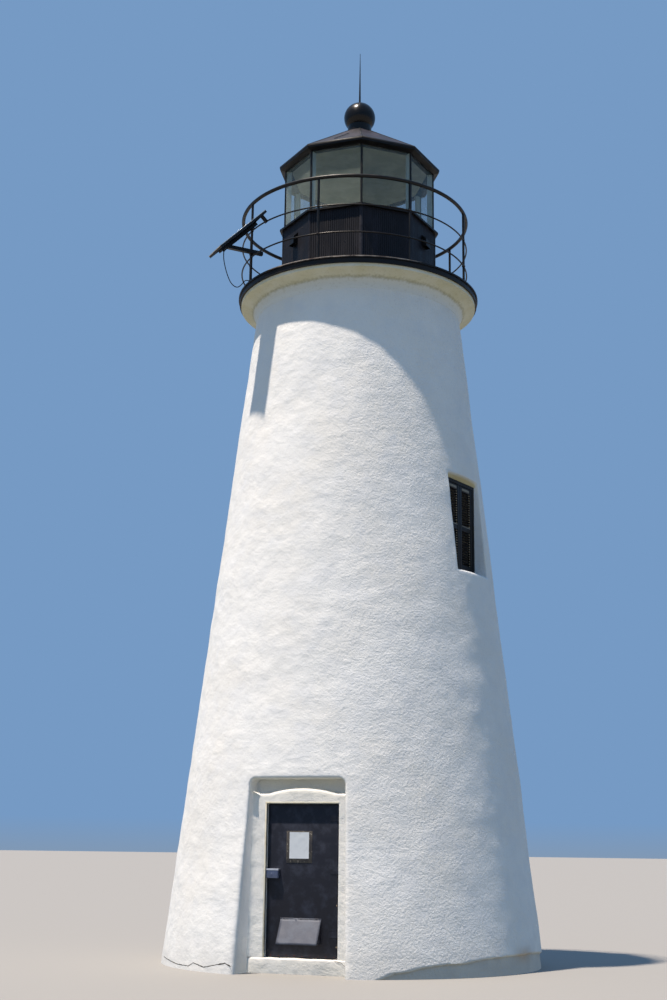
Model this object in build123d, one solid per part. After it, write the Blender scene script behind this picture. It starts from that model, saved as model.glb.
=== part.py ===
from build123d import *
import os
from math import atan2, cos, pi, radians, sin, tan

# A small round masonry lighthouse, in millimetres.
# The origin is the centre of the base, +Z is up and the door faces -Y.
# A bearing is measured from the door's direction, anticlockwise from above.

# Tower
BASE_RADIUS = 2310
NECK_RADIUS = 1375
BASE_WALL = 790
NECK_WALL = 460
FLOOR_LEVEL = 150
SEAT_GAP = 0.3

# Gallery
DECK_TOP = 8561
DECK_THICKNESS = 86
DECK_NOSING = 38
DECK_LIP = 14
DECK_LIP_HEIGHT = 22
COVE_RADIUS = 208
CORNICE_BAND = 42

# Gallery rail
RAIL_SETBACK = 89
POST_COUNT = 8
POST_START = 0.8
RAIL_OFFSET = 56
RAIL_OFFSET_BEARING = -70.8
POST_RADIUS = 16
TOP_RAIL_RADIUS = 24
LOWER_RAIL_RADIUS = 10
TOP_RAIL_RISE = 1129
LOWER_RAIL_RISES = (356, 732)
RAIL_HOLE_GAP = 0.3
FOOT_RADIUS = 32
FOOT_THICKNESS = 12

# Door niche, surround and sill
NICHE_WIDTH = 1224
SURROUND_SETBACK = 460
HEAD_BAND = 116
CROWN_RISE = 64
CROWN_CLEARANCE = 89
SILL_LEVEL = 167
SILL_NOSING = 18
DOOR_WIDTH = 838
DOOR_HEIGHT = 1654
DOOR_THICKNESS = 40
DOOR_SETBACK = 52
DOOR_FOOT_GAP = 8
DOOR_HEAD_GAP = 7
LOCK_SIDE_GAP = 8
HINGE_SIDE_GAP = 20
STOP_GAP = 5
STOP_WIDTH = 26

# Door fittings
PIN_RADIUS = 6
PIN_GAP = 0.3
KNUCKLE_RADIUS = 11
KNUCKLE_HEIGHT = 60
PIN_OFFSET = 6
LUG_HEIGHT = 22
STRAP_THICKNESS = 4
STRAP_LENGTH = 95
HINGE_RISES = (220, 895, 1465)
LOCK_SIZE = (138, 58, 104)
LOCK_RISE = 841
LOCK_INSET = 8
LOCK_CORNER = 6
NOTICE_SIZE = (264, 8, 330)
NOTICE_RISE = 1023
NOTICE_SHIFT = -47
HOOD_WIDTH = 484
HOOD_HEIGHT = 262
HOOD_REACH = 150
HOOD_SHEET = 4
HOOD_RISE = 141
HOOD_SHIFT = -9

# Window
WINDOW_BEARING = 74.5
WINDOW_WIDTH = 722
WINDOW_HEIGHT = 1170
WINDOW_SILL = 4665
WINDOW_SETBACK = 87
WINDOW_FRAME = 42
WINDOW_FRAME_DEPTH = 70
SHUTTER_THICKNESS = 36
SHUTTER_GAP = 4
SHUTTER_STILE = 52
SHUTTER_RAIL = 70
SLAT_PITCH = 44
SLAT_THICKNESS = 9
SLAT_INSET = 3
SLAT_TILT = 40

# Lantern, nine-sided with a side facing the door's direction
LANTERN_SIDES = 9
GALLERY_WALK = 563
LANTERN_WALL = 60
LANTERN_WALL_HEIGHT = 950
LANTERN_SILL_NOSING = 40
LANTERN_SILL_THICKNESS = 46
LANTERN_SILL_EDGE = 28
GLASS_POST_SETBACK = 16
GLASS_POST_WIDTH = 30
GLASS_POST_DEPTH = 92
GLASS_SETBACK = 34
GLASS_THICKNESS = 6
GLASS_HEIGHT = 851
CORNICE_HEIGHT = 68
EAVES_OVERHANG = 57
FASCIA_HEIGHT = 44
ROOF_SHEET = 30
ROOF_TOP_RADIUS = 180
ROOF_RISE = 622
CEILING_THICKNESS = 18
CORNICE_RING_WIDTH = 96
COLLAR_RADIUS = 166
COLLAR_HEIGHT = 108
BALL_RADIUS = 219
SPIRE_RADIUS = 14
SPIRE_TIP_RADIUS = 3
SPIRE_HEIGHT = 798

# Lantern wall vents
VENT_BEARINGS = (-40, 80, 200)
VENT_WIDTH = 130
VENT_HEIGHT = 168
VENT_REACH = 62
VENT_FOOT_REACH = 68
VENT_RISE = 611
VENT_SHEET = 4

# Solar panel on its post
PANEL_BEARING = POST_START - 360 / POST_COUNT
PANEL_LENGTH = 876
PANEL_WIDTH = 400
PANEL_THICKNESS = 36
PANEL_TILT = 45.8
PANEL_REACH = 612
PANEL_LOW_RISE = 236
CHANNEL_LENGTH = 650
CHANNEL_DEPTH = 40
CHANNEL_WIDTH = 60
CHANNEL_SHEET = 5
CHANNEL_START = 217
ARM_SHEET = 5
ARM_OVERRUN = 135
ARM_RISE = 411
CLAMP_WALL = 6
CLAMP_HEIGHT = 44
PANEL_EDGE_GAP = 8
RAIL_CLIP_BEARING = -30.6
RAIL_CLIP_WIDTH = 44
JUNCTION_BOX = (90, 110, 28)
JUNCTION_START = 119

# Panel cable: each point's distance outside the rail, side from the post and rise above the deck
CABLE_RADIUS = 6
GLAND_RADIUS = 11
GLAND_LENGTH = 32
BEND_SHARE = 0.45
CABLE_POINTS = (
    (445, 132, 293),
    (447, 132, 223),
    (435, 130, 148),
    (409, 122, 65),
    (369, 110, -29),
    (313, 94, -114),
    (224, 72, -147),
    (148, 46, -81),
    (96, 12, 0),
    (42, -22, 34),
    (-28, -38, 32),
    (-96, -36, 16),
    (-187, -18, 8),
    (-302, -2, 7),
    (-424, 9, 12),
    (-544, 0, 16),
)

surround_face = BASE_RADIUS - SURROUND_SETBACK
door_face = surround_face - DOOR_SETBACK
niche_plane = door_face - DOOR_THICKNESS - STOP_GAP
door_foot = SILL_LEVEL + DOOR_FOOT_GAP
door_top = door_foot + DOOR_HEIGHT
opening_head = door_top + DOOR_HEAD_GAP
opening_left = -DOOR_WIDTH / 2 - LOCK_SIDE_GAP
opening_right = DOOR_WIDTH / 2 + HINGE_SIDE_GAP
shoulder_level = opening_head + HEAD_BAND
niche_head = shoulder_level + CROWN_RISE + CROWN_CLEARANCE
passage_half = DOOR_WIDTH / 2 - STOP_WIDTH
passage_head = door_top - STOP_WIDTH
pin_x = DOOR_WIDTH / 2 + PIN_OFFSET
pin_y = -(door_face + KNUCKLE_RADIUS)
window_head = WINDOW_SILL + WINDOW_HEIGHT

deck_bottom = DECK_TOP - DECK_THICKNESS
cove_top = deck_bottom - CORNICE_BAND
cove_bottom = cove_top - COVE_RADIUS
deck_radius = NECK_RADIUS + COVE_RADIUS + DECK_NOSING
ring_radius = deck_radius - RAIL_SETBACK
top_rail_level = DECK_TOP + TOP_RAIL_RISE

side_angle = 360 / LANTERN_SIDES
flat_share = cos(radians(side_angle / 2))
lantern_radius = deck_radius - GALLERY_WALK
lantern_wall_top = DECK_TOP + LANTERN_WALL_HEIGHT
lantern_sill_radius = lantern_radius + LANTERN_SILL_NOSING
lantern_sill_top = lantern_wall_top + LANTERN_SILL_THICKNESS
glass_post_radius = lantern_radius - GLASS_POST_SETBACK
glass_radius = lantern_radius - GLASS_SETBACK
glass_head = lantern_sill_top + GLASS_HEIGHT
eaves_radius = lantern_radius + EAVES_OVERHANG
eaves_level = glass_head + CORNICE_HEIGHT
roof_top = eaves_level + ROOF_RISE
vent_level = DECK_TOP + VENT_RISE

panel_low_radius = ring_radius + PANEL_REACH
panel_low_level = DECK_TOP + PANEL_LOW_RISE
arm_inner_radius = ring_radius - ARM_OVERRUN
arm_level = DECK_TOP + ARM_RISE


def outer_radius(level):
    return BASE_RADIUS + (NECK_RADIUS - BASE_RADIUS) * level / cove_bottom


def inner_radius(level):
    inner_base = BASE_RADIUS - BASE_WALL
    inner_neck = NECK_RADIUS - NECK_WALL
    return inner_base + (inner_neck - inner_base) * level / cove_bottom


def window_face():
    return outer_radius(window_head) - WINDOW_SETBACK


def turned(shape, bearing):
    return Rot(0, 0, bearing) * shape


def block(x0, x1, y0, y1, z0, z1):
    corner = Pos((x0 + x1) / 2, (y0 + y1) / 2, (z0 + z1) / 2)
    return corner * Box(x1 - x0, y1 - y0, z1 - z0)


def swept_profile(points, start=0, end=360):
    face = make_face(Polyline(*points, close=True))
    ring = revolve(Plane.XZ * face, Axis.Z, end - start)
    return turned(ring, start - 90)


def nine_sided(radius, z0, z1, upper_radius=None):
    turn = -90 + side_angle / 2
    lower = Pos(0, 0, z0) * RegularPolygon(radius, LANTERN_SIDES, rotation=turn)
    if upper_radius is None:
        return extrude(lower, z1 - z0, dir=(0, 0, 1))
    upper = Pos(0, 0, z1) * RegularPolygon(upper_radius, LANTERN_SIDES, rotation=turn)
    return loft([lower, upper], ruled=True)


def doorway_cuts():
    reach = 2 * BASE_RADIUS
    niche = block(-NICHE_WIDTH / 2, NICHE_WIDTH / 2, -reach, -niche_plane, -1, niche_head)
    passage = block(-passage_half, passage_half, -reach, 0, -1, passage_head)
    return niche, passage


def window_cut():
    reach = 2 * BASE_RADIUS
    half = WINDOW_WIDTH / 2
    return turned(block(-half, half, -reach, 0, WINDOW_SILL, window_head), WINDOW_BEARING)


def wall_segment(z0, z1, start, end):
    profile = [
        (inner_radius(z0), z0),
        (outer_radius(z0), z0),
        (outer_radius(z1), z1),
        (inner_radius(z1), z1),
    ]
    return swept_profile(profile, start, end)


def wall_parts():
    niche, passage = doorway_cuts()
    window = window_cut()
    door_course = (0, passage_head)
    plain_course = (passage_head, WINDOW_SILL)
    window_course = (WINDOW_SILL, window_head)
    upper_course = (window_head, cove_bottom)
    left_of_window = WINDOW_BEARING - 120
    right_of_window = WINDOW_BEARING + 120
    return {
        "front_wall_left": wall_segment(*door_course, -95, 0) - niche - passage,
        "front_wall_right": wall_segment(*door_course, 0, 95) - niche - passage,
        "back_wall_left": wall_segment(*door_course, 180, 265),
        "back_wall_right": wall_segment(*door_course, 95, 180),
        "wall_over_door": wall_segment(*plain_course, -60, 60) - niche,
        "middle_wall_right": wall_segment(*plain_course, 60, 180),
        "middle_wall_left": wall_segment(*plain_course, 180, 300),
        "window_wall_front": wall_segment(*window_course, left_of_window, WINDOW_BEARING) - window,
        "window_wall_right": wall_segment(*window_course, WINDOW_BEARING, right_of_window) - window,
        "window_wall_back": wall_segment(*window_course, right_of_window, right_of_window + 120),
        "upper_wall_front": wall_segment(*upper_course, -60, 60),
        "upper_wall_right": wall_segment(*upper_course, 60, 180),
        "upper_wall_left": wall_segment(*upper_course, 180, 300),
    }


def ground_floor():
    slab = [
        (0, 0),
        (inner_radius(0) - SEAT_GAP, 0),
        (inner_radius(FLOOR_LEVEL) - SEAT_GAP, FLOOR_LEVEL),
        (0, FLOOR_LEVEL),
    ]
    half = passage_half - SEAT_GAP
    threshold = block(-half, half, -niche_plane, 0, 0, FLOOR_LEVEL)
    return swept_profile(slab) + threshold


def door_sill():
    half = NICHE_WIDTH / 2
    sill = block(-half, half, -surround_face - SILL_NOSING, -niche_plane, 0, SILL_LEVEL)
    front_top = sill.edges().filter_by(Axis.X).sort_by(Axis.Y)[0:2].sort_by(Axis.Z)[-1]
    return chamfer(front_top, SILL_NOSING / 2)


def door_surround():
    half = NICHE_WIDTH / 2
    arch_half = DOOR_WIDTH / 2
    left = Line((-half, SILL_LEVEL), (-half, shoulder_level))
    left_shoulder = Line((-half, shoulder_level), (-arch_half, shoulder_level))
    crown = (0, shoulder_level + CROWN_RISE)
    arch = ThreePointArc((-arch_half, shoulder_level), crown, (arch_half, shoulder_level))
    right_shoulder = Line((arch_half, shoulder_level), (half, shoulder_level))
    right = Line((half, shoulder_level), (half, SILL_LEVEL))
    foot = Line((half, SILL_LEVEL), (-half, SILL_LEVEL))
    outline = make_face([left, left_shoulder, arch, right_shoulder, right, foot])
    face = Plane.XZ.offset(niche_plane) * outline
    slab = extrude(face, surround_face - niche_plane, dir=(0, -1, 0))
    reach = 2 * surround_face
    return slab - block(opening_left, opening_right, -reach, 0, 0, opening_head)


def gallery_cornice():
    wall_in = inner_radius(cove_bottom)
    edge = NECK_RADIUS + COVE_RADIUS
    lower = Line((wall_in, cove_bottom), (NECK_RADIUS, cove_bottom))
    cove = RadiusArc((NECK_RADIUS, cove_bottom), (edge, cove_top), COVE_RADIUS)
    band = Line((edge, cove_top), (edge, deck_bottom))
    seat = Line((edge, deck_bottom), (wall_in, deck_bottom))
    inner = Line((wall_in, deck_bottom), (wall_in, cove_bottom))
    return revolve(Plane.XZ * make_face([lower, cove, band, seat, inner]), Axis.Z, 360)


def gallery_deck():
    lip_foot = DECK_TOP - DECK_LIP_HEIGHT
    band_radius = deck_radius - DECK_LIP
    profile = [
        (0, deck_bottom),
        (band_radius, deck_bottom),
        (band_radius, lip_foot),
        (deck_radius, lip_foot),
        (deck_radius, DECK_TOP),
        (0, DECK_TOP),
    ]
    return swept_profile(profile)


def rail_ring(level, tube_radius):
    return Pos(0, 0, level) * Torus(ring_radius, tube_radius)


def on_rail(shape):
    turn = radians(RAIL_OFFSET_BEARING)
    return Pos(RAIL_OFFSET * sin(turn), -RAIL_OFFSET * cos(turn), 0) * shape


def lower_rails():
    return [rail_ring(DECK_TOP + rise, LOWER_RAIL_RADIUS) for rise in LOWER_RAIL_RISES]


def rail_posts():
    lower_hole = LOWER_RAIL_RADIUS + RAIL_HOLE_GAP
    cuts = [rail_ring(DECK_TOP + rise, lower_hole) for rise in LOWER_RAIL_RISES]
    cuts.append(rail_ring(top_rail_level, TOP_RAIL_RADIUS + RAIL_HOLE_GAP))
    base = (Align.CENTER, Align.CENTER, Align.MIN)
    bar = Cylinder(POST_RADIUS, TOP_RAIL_RISE - TOP_RAIL_RADIUS / 2, align=base)
    post = bar + Cylinder(FOOT_RADIUS, FOOT_THICKNESS, align=base)
    post = Pos(0, -ring_radius, DECK_TOP) * post
    for cut in cuts:
        post = post - cut
    post = post.solids().sort_by(SortBy.VOLUME)[-1]
    return [turned(post, POST_START + k * 360 / POST_COUNT) for k in range(POST_COUNT)]


def lantern_wall():
    inner = lantern_radius - LANTERN_WALL / flat_share
    outside = nine_sided(lantern_radius, DECK_TOP, lantern_wall_top)
    return outside - nine_sided(inner, DECK_TOP, lantern_wall_top)


def lantern_sill():
    inner = glass_post_radius - GLASS_POST_DEPTH
    middle = lantern_wall_top + LANTERN_SILL_EDGE
    ring = nine_sided(lantern_sill_radius, lantern_wall_top, middle)
    ring = ring + nine_sided(lantern_sill_radius, middle, lantern_sill_top, glass_post_radius)
    return ring - nine_sided(inner, lantern_wall_top, lantern_sill_top)


def glass_post_bars(extra):
    outside = nine_sided(glass_post_radius, lantern_sill_top, glass_head)
    half = GLASS_POST_WIDTH / 2 + extra
    inner = glass_post_radius - GLASS_POST_DEPTH - extra
    reach = 2 * glass_post_radius
    bar = block(-half, half, -reach, -inner, lantern_sill_top, glass_head)
    bars = [turned(bar, side_angle * (k + 0.5)) for k in range(LANTERN_SIDES)]
    return [bar & outside for bar in bars]


def lantern_glass():
    inner = glass_radius - GLASS_THICKNESS / flat_share
    band = nine_sided(glass_radius, lantern_sill_top, glass_head)
    band = band - nine_sided(inner, lantern_sill_top, glass_head)
    for bar in glass_post_bars(SEAT_GAP):
        band = band - bar
    return band.solids()


def lantern_cornice():
    foot_radius = glass_post_radius + SEAT_GAP
    fascia_foot = eaves_level - FASCIA_HEIGHT
    inner = glass_post_radius - CORNICE_RING_WIDTH
    ring = nine_sided(foot_radius, glass_head, fascia_foot, eaves_radius)
    ring = ring + nine_sided(eaves_radius, fascia_foot, eaves_level)
    return ring - nine_sided(inner, glass_head, eaves_level)


def lantern_ceiling():
    inner = glass_post_radius - CORNICE_RING_WIDTH
    return nine_sided(inner, glass_head, glass_head + CEILING_THICKNESS)


def lantern_roof():
    outer = nine_sided(eaves_radius, eaves_level, roof_top, ROOF_TOP_RADIUS)
    slope = atan2(ROOF_RISE, eaves_radius - ROOF_TOP_RADIUS)
    drop = ROOF_SHEET / cos(slope)
    run = drop / tan(slope)
    hollow = nine_sided(eaves_radius - run, eaves_level, roof_top - drop, ROOF_TOP_RADIUS)
    return outer - hollow


def roof_collar():
    collar = Pos(0, 0, roof_top + COLLAR_HEIGHT / 2) * Cylinder(COLLAR_RADIUS, COLLAR_HEIGHT)
    return collar - Pos(0, 0, ball_level()) * Sphere(BALL_RADIUS + SEAT_GAP)


def ball_level():
    collar_top = roof_top + COLLAR_HEIGHT
    return collar_top + (BALL_RADIUS ** 2 - COLLAR_RADIUS ** 2) ** 0.5


def vent_ball():
    wide = 2 * BALL_RADIUS
    ball = Pos(0, 0, ball_level()) * Sphere(BALL_RADIUS)
    return ball & block(-wide, wide, -wide, wide, roof_top + SEAT_GAP, spire_foot())


def spire_foot():
    return ball_level() + (BALL_RADIUS ** 2 - (SPIRE_RADIUS * 2) ** 2) ** 0.5


def spire():
    profile = [
        (0, 0),
        (SPIRE_RADIUS * 2, 0),
        (SPIRE_RADIUS, SPIRE_RADIUS * 2),
        (SPIRE_TIP_RADIUS, SPIRE_HEIGHT),
        (0, SPIRE_HEIGHT),
    ]
    return Pos(0, 0, spire_foot()) * swept_profile(profile)


def lantern_vents():
    wall_face = lantern_radius * flat_share
    top = vent_level + VENT_HEIGHT

    def shell(inset):
        inner_top = top - inset * 2 ** 0.5
        reach = VENT_REACH - inset
        profile = make_face(Polyline(
            (wall_face, vent_level),
            (wall_face + VENT_FOOT_REACH - inset, vent_level),
            (wall_face + reach, inner_top - reach),
            (wall_face, inner_top),
            close=True,
        ))
        return extrude(Plane.XZ * profile, VENT_WIDTH / 2 - inset, both=True)

    hood = shell(0) - shell(VENT_SHEET)
    return [turned(hood, bearing - 90) for bearing in VENT_BEARINGS]


def window_frame():
    half = WINDOW_WIDTH / 2
    back = window_face() - WINDOW_FRAME_DEPTH
    outer = block(-half, half, -window_face(), -back, WINDOW_SILL, window_head)
    inner_half = half - WINDOW_FRAME
    inner_foot = WINDOW_SILL + WINDOW_FRAME
    inner_top = window_head - WINDOW_FRAME
    hole = block(-inner_half, inner_half, -window_face(), -back, inner_foot, inner_top)
    return turned(outer - hole, WINDOW_BEARING)


def shutter(side):
    width = WINDOW_WIDTH / 2 - WINDOW_FRAME - SEAT_GAP - SHUTTER_GAP / 2
    height = window_head - WINDOW_SILL - 2 * WINDOW_FRAME - 2 * SHUTTER_GAP
    field_width = width - 2 * SHUTTER_STILE
    field_height = (height - 3 * SHUTTER_RAIL) / 2
    panel = Box(width, SHUTTER_THICKNESS, height)
    tilt = radians(SLAT_TILT)
    slat_depth = (SHUTTER_THICKNESS - 2 * SLAT_INSET - SLAT_THICKNESS * sin(tilt)) / cos(tilt)
    slat = Rot(SLAT_TILT, 0, 0) * Box(field_width, slat_depth, SLAT_THICKNESS)
    count = int(field_height // SLAT_PITCH)
    for centre in (-1, 1):
        level = centre * (field_height + SHUTTER_RAIL) / 2
        panel = panel - Pos(0, 0, level) * Box(field_width, SHUTTER_THICKNESS, field_height)
        for k in range(count):
            z = level + (k - (count - 1) / 2) * SLAT_PITCH
            panel = panel + Pos(0, 0, z) * slat
    x = side * (width + SHUTTER_GAP) / 2
    y = -(window_face() - SHUTTER_THICKNESS / 2 - SHUTTER_GAP)
    z = (window_head + WINDOW_SILL) / 2
    return turned(Pos(x, y, z) * panel, WINDOW_BEARING)


def door_leaf():
    half = DOOR_WIDTH / 2
    return block(-half, half, -door_face, -door_face + DOOR_THICKNESS, door_foot, door_top)


def hinge_straps():
    straps = []
    base = (Align.CENTER, Align.CENTER, Align.MIN)
    for rise in HINGE_RISES:
        level = door_foot + rise
        top = level + KNUCKLE_HEIGHT
        knuckle = Pos(pin_x, pin_y, level) * Cylinder(KNUCKLE_RADIUS, KNUCKLE_HEIGHT, align=base)
        strap = block(pin_x - STRAP_LENGTH, pin_x, -door_face - STRAP_THICKNESS, -door_face, level, top)
        bore = Pos(pin_x, pin_y, level) * Cylinder(PIN_RADIUS + PIN_GAP, KNUCKLE_HEIGHT, align=base)
        straps.append(knuckle + strap - bore)
    return straps


def hinge_pins():
    pins = []
    base = (Align.CENTER, Align.CENTER, Align.MIN)
    for rise in HINGE_RISES:
        level = door_foot + rise
        foot = level - LUG_HEIGHT - PIN_GAP
        pin = Pos(pin_x, pin_y, foot) * Cylinder(PIN_RADIUS, LUG_HEIGHT + KNUCKLE_HEIGHT, align=base)
        lug = Pos(pin_x, pin_y, foot) * Cylinder(KNUCKLE_RADIUS, LUG_HEIGHT, align=base)
        tang = block(pin_x, opening_right, pin_y - PIN_RADIUS, pin_y + PIN_RADIUS, foot, foot + LUG_HEIGHT)
        pins.append(pin + lug + tang)
    return pins


def lock_box():
    width, reach, height = LOCK_SIZE
    left = -DOOR_WIDTH / 2 + LOCK_INSET
    level = door_foot + LOCK_RISE
    box = block(left, left + width, -door_face - reach, -door_face, level, level + height)
    return fillet(box.edges().filter_by(Axis.Z).sort_by(Axis.Y)[0:2], LOCK_CORNER)


def notice_board():
    width, depth, height = NOTICE_SIZE
    left = NOTICE_SHIFT - width / 2
    level = door_foot + NOTICE_RISE
    return block(left, left + width, -door_face - depth, -door_face, level, level + height)


def vent_hood():
    level = door_foot + HOOD_RISE

    def wedge(inset):
        slope = HOOD_REACH / HOOD_HEIGHT
        profile = make_face(Polyline(
            (door_face, level),
            (door_face + HOOD_REACH - inset, level),
            (door_face, level + HOOD_HEIGHT - inset / slope),
            close=True,
        ))
        return turned(extrude(Plane.XZ * profile, HOOD_WIDTH / 2 - inset, both=True), -90)

    hood = wedge(0) - wedge(HOOD_SHEET)
    return Pos(HOOD_SHIFT, 0, 0) * hood


def panel_place(along, below):
    slope = radians(PANEL_TILT)
    radius = panel_low_radius - along * cos(slope) - below * sin(slope)
    level = panel_low_level + along * sin(slope) - below * cos(slope)
    return turned(Pos(0, -radius, level) * Rot(PANEL_TILT, 0, 0), PANEL_BEARING)


def side_shift():
    return POST_RADIUS + SEAT_GAP + CLAMP_WALL + CHANNEL_WIDTH / 2


def panel_shift():
    return POST_RADIUS + PANEL_EDGE_GAP + PANEL_WIDTH / 2


def solar_panel():
    base = (Align.CENTER, Align.MIN, Align.MAX)
    panel = Box(PANEL_WIDTH, PANEL_LENGTH, PANEL_THICKNESS, align=base)
    return panel_place(0, 0) * Pos(panel_shift(), 0, 0) * panel


def panel_channel():
    base = (Align.CENTER, Align.MIN, Align.MAX)
    outer = Box(CHANNEL_WIDTH, CHANNEL_LENGTH, CHANNEL_DEPTH, align=base)
    inner_width = CHANNEL_WIDTH - 2 * CHANNEL_SHEET
    inner = Pos(0, 0, -CHANNEL_SHEET) * Box(inner_width, CHANNEL_LENGTH, CHANNEL_DEPTH, align=base)
    place = panel_place(CHANNEL_START, PANEL_THICKNESS)
    return place * Pos(side_shift(), 0, 0) * (outer - inner)


def arm_size():
    return CHANNEL_WIDTH - 2 * CHANNEL_SHEET - 2 * SEAT_GAP


def panel_arm():
    size = arm_size()
    slope = radians(PANEL_TILT)
    below = PANEL_THICKNESS + CHANNEL_SHEET + SEAT_GAP
    arm_top = arm_level + size / 2
    along = (arm_top - panel_low_level + below * cos(slope)) / sin(slope)
    outer_end = panel_low_radius - along * cos(slope) - below * sin(slope)
    length = outer_end - arm_inner_radius
    tube = Box(size, length, size) - Box(size - 2 * ARM_SHEET, length, size - 2 * ARM_SHEET)
    middle = Pos(side_shift(), -(outer_end + arm_inner_radius) / 2, arm_level)
    return turned(middle * tube, PANEL_BEARING)


def channel_clamp_level():
    slope = radians(PANEL_TILT)
    below = PANEL_THICKNESS + CHANNEL_DEPTH / 2
    along = (panel_low_radius - ring_radius - below * sin(slope)) / cos(slope)
    return panel_low_level + along * sin(slope) - below * cos(slope)


def post_clamps():
    half = POST_RADIUS + SEAT_GAP + CLAMP_WALL
    post = Cylinder(POST_RADIUS + SEAT_GAP, CLAMP_HEIGHT)
    clamps = []
    for level, gap in ((arm_level, CHANNEL_SHEET + SEAT_GAP), (channel_clamp_level(), 0)):
        body = block(-half, half + gap, -half, half, -CLAMP_HEIGHT / 2, CLAMP_HEIGHT / 2) - post
        clamps.append(turned(Pos(0, -ring_radius, level) * body, PANEL_BEARING))
    return clamps


def rail_clip():
    slope = radians(PANEL_TILT)
    rail_level = DECK_TOP + LOWER_RAIL_RISES[1]
    offset = radians(RAIL_CLIP_BEARING - PANEL_BEARING)
    radius = ring_radius * cos(offset)
    side = ring_radius * sin(offset)
    across = (panel_low_radius - radius) * sin(slope) - (rail_level - panel_low_level) * cos(slope)
    half = RAIL_CLIP_WIDTH / 2
    eye = LOWER_RAIL_RADIUS + CLAMP_WALL
    length = across - PANEL_THICKNESS + eye
    body = Pos(side, 0, 0) * block(-half, half, -eye, eye, 0, length)
    clip = Pos(0, -radius, rail_level) * Rot(PANEL_TILT, 0, 0) * Pos(0, 0, -eye) * body
    clip = turned(clip, PANEL_BEARING)
    return clip - rail_ring(rail_level, LOWER_RAIL_RADIUS + RAIL_HOLE_GAP)


def junction_box():
    width, length, depth = JUNCTION_BOX
    exit_point = cable_points()[0]
    base = (Align.CENTER, Align.MIN, Align.MAX)
    place = panel_place(JUNCTION_START, PANEL_THICKNESS)
    box = place * Pos(exit_point.X, 0, 0) * Box(width, length, depth, align=base)
    foot = (Align.CENTER, Align.CENTER, Align.MIN)
    gland = Pos(exit_point) * Cylinder(GLAND_RADIUS, GLAND_LENGTH, align=foot)
    return box + turned(gland, PANEL_BEARING)


def cable_gland():
    before, mouth = cable_points()[-2:]
    inward = (mouth - before).normalized()
    face_bearing = -side_angle * round(-PANEL_BEARING / side_angle)
    gland = Plane(origin=mouth, z_dir=inward) * Cylinder(
        GLAND_RADIUS, GLAND_LENGTH * 2, align=(Align.CENTER, Align.CENTER, Align.MIN)
    )
    wall_face = lantern_radius * flat_share
    wide = lantern_radius
    inside = turned(block(-wide, wide, -wall_face, wide, DECK_TOP, lantern_wall_top), face_bearing)
    return on_rail(turned(gland, PANEL_BEARING)) - inside


def cable_points():
    return [Vector(side, -ring_radius - outside, DECK_TOP + rise) for outside, side, rise in CABLE_POINTS]


def cable_path():
    points = cable_points()
    runs = [points[i + 1] - points[i] for i in range(len(points) - 1)]
    radii = []
    for before, after in zip(runs, runs[1:]):
        turn = radians(before.get_angle(after))
        radii.append(BEND_SHARE * min(before.length, after.length) / tan(turn / 2))
    return points, radii


def panel_cable():
    points, radii = cable_path()
    path = FilletPolyline(*points, radius=radii)
    start = Plane(origin=path @ 0, z_dir=path % 0)
    tube = sweep(start * Circle(CABLE_RADIUS), path=path)
    print("cable length", round(path.length), "radii", [round(r) for r in radii])
    print("cable volume ratio", round(tube.volume / (pi * CABLE_RADIUS ** 2 * path.length), 4))
    return turned(tube, PANEL_BEARING)


def build():
    parts = wall_parts()
    parts["ground_floor"] = ground_floor()
    parts["door_sill"] = door_sill()
    parts["door_surround"] = door_surround()
    parts["gallery_cornice"] = gallery_cornice()
    parts["gallery_deck"] = gallery_deck()
    parts["top_rail"] = on_rail(rail_ring(top_rail_level, TOP_RAIL_RADIUS))
    parts["lower_rails"] = [on_rail(ring) for ring in lower_rails()]
    parts["rail_posts"] = [on_rail(post) for post in rail_posts()]
    parts["lantern_wall"] = lantern_wall()
    parts["lantern_vents"] = lantern_vents()
    parts["lantern_sill"] = lantern_sill()
    parts["glass_posts"] = glass_post_bars(0)
    parts["lantern_glass"] = lantern_glass()
    parts["lantern_cornice"] = lantern_cornice()
    parts["lantern_ceiling"] = lantern_ceiling()
    parts["lantern_roof"] = lantern_roof()
    parts["roof_collar"] = roof_collar()
    parts["vent_ball"] = vent_ball()
    parts["spire"] = spire()
    parts["window_frame"] = window_frame()
    parts["window_shutters"] = [shutter(-1), shutter(1)]
    parts["door_leaf"] = door_leaf()
    parts["hinge_straps"] = hinge_straps()
    parts["hinge_pins"] = hinge_pins()
    parts["lock_box"] = lock_box()
    parts["notice_board"] = notice_board()
    parts["vent_hood"] = vent_hood()
    parts["solar_panel"] = on_rail(solar_panel())
    parts["panel_bracket"] = [on_rail(panel_channel()), on_rail(panel_arm())]
    parts["rail_clamps"] = [on_rail(clamp) for clamp in post_clamps() + [rail_clip()]]
    parts["cable_glands"] = [on_rail(junction_box()), cable_gland()]
    parts["panel_cable"] = on_rail(panel_cable())
    return parts


os.makedirs("parts", exist_ok=True)
for name, shape in build().items():
    if isinstance(shape, (list, ShapeList)):
        shape = Compound(children=[s for piece in shape for s in piece.solids()])
    export_step(shape, f"parts/{name}.step")
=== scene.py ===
# %% [markdown]
# A small whitewashed lighthouse
#
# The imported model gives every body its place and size. This lesson dresses it: a rough
# stucco coat on the battered tower, a black gallery with its iron rail, a nine-sided
# boarded and glazed lantern, a plain steel-faced door and a small solar panel with its
# cable. Everything is in metres, the door faces -Y, and a bearing is an angle from the
# door's direction, anticlockwise from above.

from math import asin, cos, degrees, pi, radians, sin, sqrt

import bmesh
import bpy
from mathutils import Matrix, Vector, noise


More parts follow.
